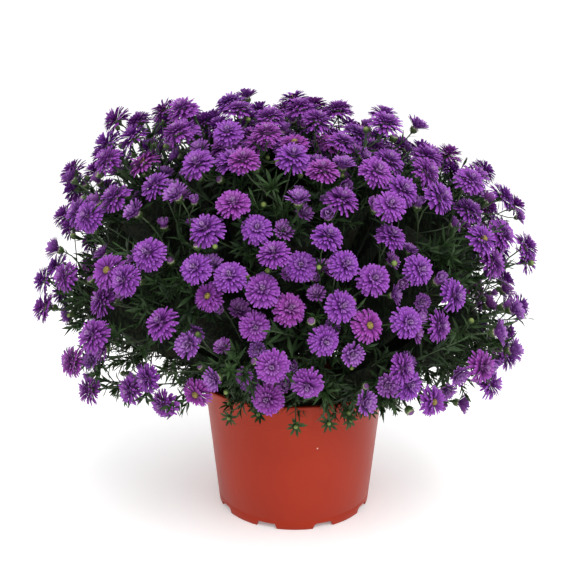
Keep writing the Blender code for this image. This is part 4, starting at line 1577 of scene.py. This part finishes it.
def add_spray(k, spray):
    rng = random.Random(SEED * 1000 + k)
    flowers, greens = new_shape(), new_shape()
    lines = stalk_lines(spray)
    for n, line in enumerate(lines):
        add_stalk(greens, line, NECK_WIDTHS if n else STEM_WIDTHS)
    for root, tip in spray["leaves"]:
        shoot = [root, (root + tip) / 2, tip - unit(tip - root) * SHOOT_END]
        add_stalk(greens, shoot, SHOOT_WIDTHS)
    buds = add_buds(greens, flowers, rng, lines)
    shade_new(greens)
    core = core_shape(f"core_{k}", spray)
    stamp(greens, core, Matrix.Identity(4), 0.0)
    sprig_count = core_sprigs(greens, random.Random(SEED * 2000 + k), core)
    if k >= RIM_SPRAYS_FROM:
        add_rim_shoots(greens, rng, spray["lines"][0])
    for line, bloom in zip(lines, spray["blooms"]):
        leafy(greens, rng, line, STALK_LEAVES)
        if bloom["place"][2] < LOW_BLOOMS and line_length(line) > TWIG_BACKS[1]:
            add_low_twigs(greens, rng, line)
        if bloom["tuft"]:
            add_tuft(greens, rng, bloom)
        else:
            add_bloom(flowers, greens, rng, bloom)
    for root, tip in spray["leaves"]:
        add_shoot(greens, rng, root, tip)
    node = f"spray_{k + 1:02d}"
    green_finishes = (stem_green, leaf_green, bud_green, old_growth_painted_shade)
    counts = (
        finish_piece(node + "_flowers", flowers, "plant", node, petal, eye_of_bloom),
        finish_piece(node + "_greens", greens, "plant", node, *green_finishes),
    )
    return counts, buds, sprig_count


# %% Grow the plant
totals = np.zeros(5, int)
for k, spray in enumerate(sprays):
    counts, buds, sprig_count = add_spray(k, spray)
    totals += [*counts, *buds, sprig_count]
print("triangles of flowers", totals[0], "and greens", totals[1])
print("young blooms", totals[2], "buds", totals[3], "and sprigs", totals[4])

# %% [markdown]
# ## The pot
# The pot is injection moulded in terracotta-coloured plastic: one thin tapered wall with a
# stepped band and a lip round the rim, a raised floor with drain holes, and a foot cut into
# nine broad feet. Its profile is spun about the axis. The notches and holes are cut with
# Booleans, and a narrow bevel rounds every edge, as a mould does.

# %% Pot finish
# The middle of the one light fleck on the wall.
FLECK = (29.5 * MM, -90.3 * MM, 86.4 * MM)


def pot_finish():
    finish = Finish("terracotta_plastic", 0.42, specular=0.18)
    clouds, grain = finish.noise(14.0, 4.0), finish.noise(900.0, 2.0)
    scuffs = finish.noise(55.0, 6.0, finish.place(1.0, 1.0, 0.25))
    body = finish.mix((0.285, 0.018, 0.004), (0.33, 0.024, 0.006), clouds.above(0.5, 0.25))
    rubbed = finish.mix(body, (0.37, 0.050, 0.028), scuffs.above(0.66, 0.06) * 0.35)
    grained = finish.mix(rubbed, (0.24, 0.017, 0.006), grain.above(0.62, 0.1) * 0.25)
    ends = {0: finish.place(), 1: FLECK}
    from_fleck = finish.add("ShaderNodeVectorMath", {"operation": "DISTANCE"}, ends, "Value")
    flecked = 1 - from_fleck.above(0.7 * MM, 0.3 * MM)
    finish.drive("Base Color", finish.mix(grained, (0.72, 0.55, 0.50), flecked))
    finish.drive("Roughness", clouds * 0.12 + scuffs * 0.16 + 0.26)
    finish.relief(grain + scuffs * 2.0, 0.03 * MM)
    return finish.material


terracotta = pot_finish()
print("pot nodes", len(terracotta.node_tree.nodes))

# %% Pot shape
FINE_SIDES = 144
DRAIN_FINE_SIDES = 24
GROOVE_HEIGHT = 9 * MM
GROOVE_REACH = 0.7 * MM
GROOVE_DEPTH = 0.3 * MM
NOTCH_ROUND = 2.5 * MM
EDGE_ROUND = 0.35 * MM
POT_SHARP = 30 * DEGREES


def wall_radius(height):
    """The outer radius of the pot's wall, below its band's step, at a height."""
    return FOOT_RADIUS + (BAND_RADIUS - FOOT_RADIUS) * height / BAND_HEIGHT


def inner_radius(height):
    return wall_radius(height) - POT_WALL


def pot_outline():
    floor_top = FLOOR_UNDERSIDE + POT_WALL
    band_foot = BAND_HEIGHT + BAND_STEP
    lip_foot = POT_HEIGHT - LIP_DEPTH
    return [
        (0, FLOOR_UNDERSIDE),
        (FOOT_RADIUS - FOOT_WIDTH, FLOOR_UNDERSIDE),
        (FOOT_RADIUS - FOOT_WIDTH, 0),
        (FOOT_RADIUS, 0),
        (wall_radius(GROOVE_HEIGHT - GROOVE_REACH), GROOVE_HEIGHT - GROOVE_REACH),
        (wall_radius(GROOVE_HEIGHT) - GROOVE_DEPTH, GROOVE_HEIGHT),
        (wall_radius(GROOVE_HEIGHT + GROOVE_REACH), GROOVE_HEIGHT + GROOVE_REACH),
        (BAND_RADIUS, BAND_HEIGHT),
        (wall_radius(band_foot) + BAND_STEP, band_foot),
        (wall_radius(lip_foot) + BAND_STEP, lip_foot),
        (LIP_RADIUS, lip_foot + LIP_EDGE),
        (LIP_RADIUS, POT_HEIGHT - LIP_EDGE),
        (LIP_RADIUS - LIP_EDGE, POT_HEIGHT),
        (inner_radius(POT_HEIGHT), POT_HEIGHT),
        (inner_radius(floor_top), floor_top),
        (0, floor_top),
    ]


def is_radial(side):
    """True for an edge that runs away from the pot's axis."""
    along = (side.verts[1].co - side.verts[0].co).to_2d().normalized()
    return abs(along @ side.verts[0].co.to_2d().normalized()) > 0.95


def notch_cutter():
    """Blocks with slanted sides, one through the foot between each two feet."""
    bm = bmesh.new()
    for n in range(FEET):
        turn = Matrix.Rotation((n + 0.5) * 2 * math.pi / FEET - math.pi / 2, 4, "Z")
        size = Matrix.Diagonal((NOTCH_DEPTH, NOTCH_WIDTH, 2 * NOTCH_HEIGHT, 1))
        place = turn @ Matrix.Translation((FOOT_RADIUS, 0, 0)) @ size
        for v in bmesh.ops.create_cube(bm, size=1)["verts"]:
            if v.co.z > 0:
                v.co.y *= NOTCH_TAPER
            v.co = place @ v.co
    high = [e for e in bm.edges if all(v.co.z > 0 for v in e.verts) and is_radial(e)]
    bmesh.ops.bevel(
        bm, geom=high, offset=NOTCH_ROUND, offset_type="OFFSET", segments=4, profile=0.5,
        affect="EDGES", material=-1,
    )
    return new_object("notch_cutter", bm)


def drain_cutter():
    bm = bmesh.new()
    for n in range(DRAIN_HOLES):
        turn = Matrix.Rotation(n * 2 * math.pi / DRAIN_HOLES, 4, "Z")
        place = turn @ Matrix.Translation((DRAIN_RING, 0, FLOOR_UNDERSIDE))
        bmesh.ops.create_cone(
            bm, cap_ends=True, segments=DRAIN_FINE_SIDES, radius1=DRAIN_RADIUS, radius2=DRAIN_RADIUS,
            depth=2 * FLOOR_UNDERSIDE, matrix=place,
        )
    return new_object("drain_cutter", bm)


def spin_round(points, steps):
    """A turned body from its outline, which runs from the axis round to the axis."""
    bm = bmesh.new()
    corners = [bm.verts.new((r, 0, z)) for r, z in points]
    outline = corners + [bm.edges.new(pair) for pair in zip(corners, corners[1:])]
    bmesh.ops.spin(bm, geom=outline, axis=(0, 0, 1), angle=2 * math.pi, steps=steps, use_merge=True)
    bmesh.ops.remove_doubles(bm, verts=bm.verts, dist=0.001 * MM)
    bmesh.ops.recalc_face_normals(bm, faces=bm.faces)
    return bm


def with_modifiers_applied(thing):
    """The shape of an object after its modifiers. The object itself is removed."""
    graph = bpy.context.evaluated_depsgraph_get()
    bm = bmesh.new()
    bm.from_object(thing, graph)
    bpy.data.objects.remove(thing)
    return bm


def cut_pot():
    pot = new_object("pot_blank", spin_round(pot_outline(), FINE_SIDES))
    cutters = [notch_cutter(), drain_cutter()]
    for cutter in cutters:
        cut = pot.modifiers.new(cutter.name, "BOOLEAN")
        cut.object = cutter
    rounded = pot.modifiers.new("rounded_edges", "BEVEL")
    rounded.width = EDGE_ROUND
    rounded.segments = 2
    rounded.limit_method = "ANGLE"
    rounded.angle_limit = 35 * DEGREES
    bm = with_modifiers_applied(pot)
    for cutter in cutters:
        bpy.data.objects.remove(cutter)
    shade(bm, POT_SHARP)
    return bm


print("triangles of the pot", finish_piece("nursery_pot", cut_pot(), "pot", "pot", terracotta))

# %% [markdown]
# ## The soil
# Potting soil is dark peat with brown fibres, in crumbs of every size. Its top is a fine turned
# disc with noise in its height, and some hundred crumbs lie on it. The stems stand in it.

# %% Soil
CRUMBS = 700
CRUMBS_WITHIN = 86 * MM
CRUMB_SIZES = (0.7 * MM, 2.4 * MM)
FINE_RINGS = 22
SOIL_FINE_SIDES = 96
FINE_LUMP = 0.8 * MM
FINE_LUMPS_PER_METRE = 300


def soil_finish(name, low, high):
    finish = Finish(name, 0.95, specular=0.2)
    peat, fibres = finish.noise(160.0, 6.0), finish.noise(380.0, 3.0, finish.place(1.0, 0.25, 1.0))
    dark = finish.mix(low, high, peat.above(0.5, 0.2))
    finish.drive("Base Color", finish.mix(dark, (0.10, 0.06, 0.03), fibres.above(0.66, 0.04) * 0.6))
    finish.relief(peat + fibres * 0.5, 1.2 * MM)
    return finish.material


def soil_height(x, y):
    """The lumps of the solid, with finer ones on top."""
    spot = Vector((x, y, SOIL_TOP))
    lumps = SOIL_LUMP * noise.noise(spot * SOIL_LUMPS_PER_METRE)
    return lumps + FINE_LUMP * noise.noise(spot * FINE_LUMPS_PER_METRE)


def fine_soil():
    low = FLOOR_UNDERSIDE + POT_WALL + FIT_GAP
    edge = SOIL_TOP - SOIL_EDGE_DROP
    flat = math.cos(math.pi / POT_SIDES)
    side, top = [inner_radius(height) * flat - FIT_GAP for height in (low, edge)]
    rings = [(top * share, SOIL_TOP) for share in np.linspace(0.97, 0.04, FINE_RINGS)]
    bm = spin_round([(0, low), (side, low), (top, edge)] + rings + [(0, SOIL_TOP)], SOIL_FINE_SIDES)
    for v in bm.verts:
        if v.co.z > edge + 0.1 * MM:
            v.co.z += soil_height(v.co.x, v.co.y)
    for face in bm.faces:
        face.smooth = True
    return bm


def soil_crumbs():
    rng = random.Random(SEED)
    bm = bmesh.new()
    for _ in range(CRUMBS):
        reach, turn = CRUMBS_WITHIN * math.sqrt(rng.random()), rng.uniform(0, 2 * math.pi)
        x, y, size = reach * math.cos(turn), reach * math.sin(turn), rng.uniform(*CRUMB_SIZES)
        place = Matrix.Translation((x, y, SOIL_TOP + soil_height(x, y) + size * 0.3))
        shape = Matrix.Diagonal((size, size * rng.uniform(0.6, 1), size * rng.uniform(0.5, 0.8), 1))
        roll = Matrix.Rotation(rng.uniform(0, 6.3), 4, (rng.gauss(0, 1), rng.gauss(0, 1), rng.gauss(0, 1)))
        bmesh.ops.create_icosphere(bm, subdivisions=1, radius=1, matrix=place @ roll @ shape)
    return bm


soil_dark = soil_finish("potting_soil", (0.018, 0.011, 0.007), (0.050, 0.032, 0.020))
crumb_dark = soil_finish("soil_crumbs", (0.025, 0.015, 0.009), (0.075, 0.047, 0.028))
print("triangles of the soil", finish_piece("potting_soil", fine_soil(), "soil", "soil", soil_dark))
print("triangles of the crumbs", finish_piece("soil_crumbs", soil_crumbs(), "soil", "soil", crumb_dark))

# %% [markdown]
# ## The floor
# The plant stands on a plain pale floor, wide enough to reach the horizon in every view. It is
# the studio and not the object, so it is marked as stage.

# %% Floor
FLOOR_GLOW = 0.2
FLOOR_RADIUS = 30


def floor_finish():
    finish = Finish("pale_floor", 0.6, specular=0.2)
    spread = finish.noise(3.0)
    finish.drive("Base Color", finish.mix((0.92, 0.92, 0.92), (0.95, 0.95, 0.95), spread))
    finish.shader.inputs["Emission Color"].default_value = (1, 1, 1, 1)
    finish.shader.inputs["Emission Strength"].default_value = FLOOR_GLOW
    return finish.material


bm = bmesh.new()
bmesh.ops.create_circle(bm, cap_ends=True, segments=64, radius=FLOOR_RADIUS)
floor = new_object("floor", bm, floor_finish())
floor.location.z = -0.5 * MM
floor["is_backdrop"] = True
print("floor radius in metres", FLOOR_RADIUS)

# %% [markdown]
# ## Size
# The dressed plant has to fill the same box as the solids. Both boxes are printed in millimetres.

# %% Size and finish
dressed_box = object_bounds()
boxes = {"cad": [list(corner) for corner in cad_box], "visual": [list(corner) for corner in dressed_box]}
for name, (low, high) in boxes.items():
    print(name, "box in mm", [round(v * 1000) for v in low], [round(v * 1000) for v in high])
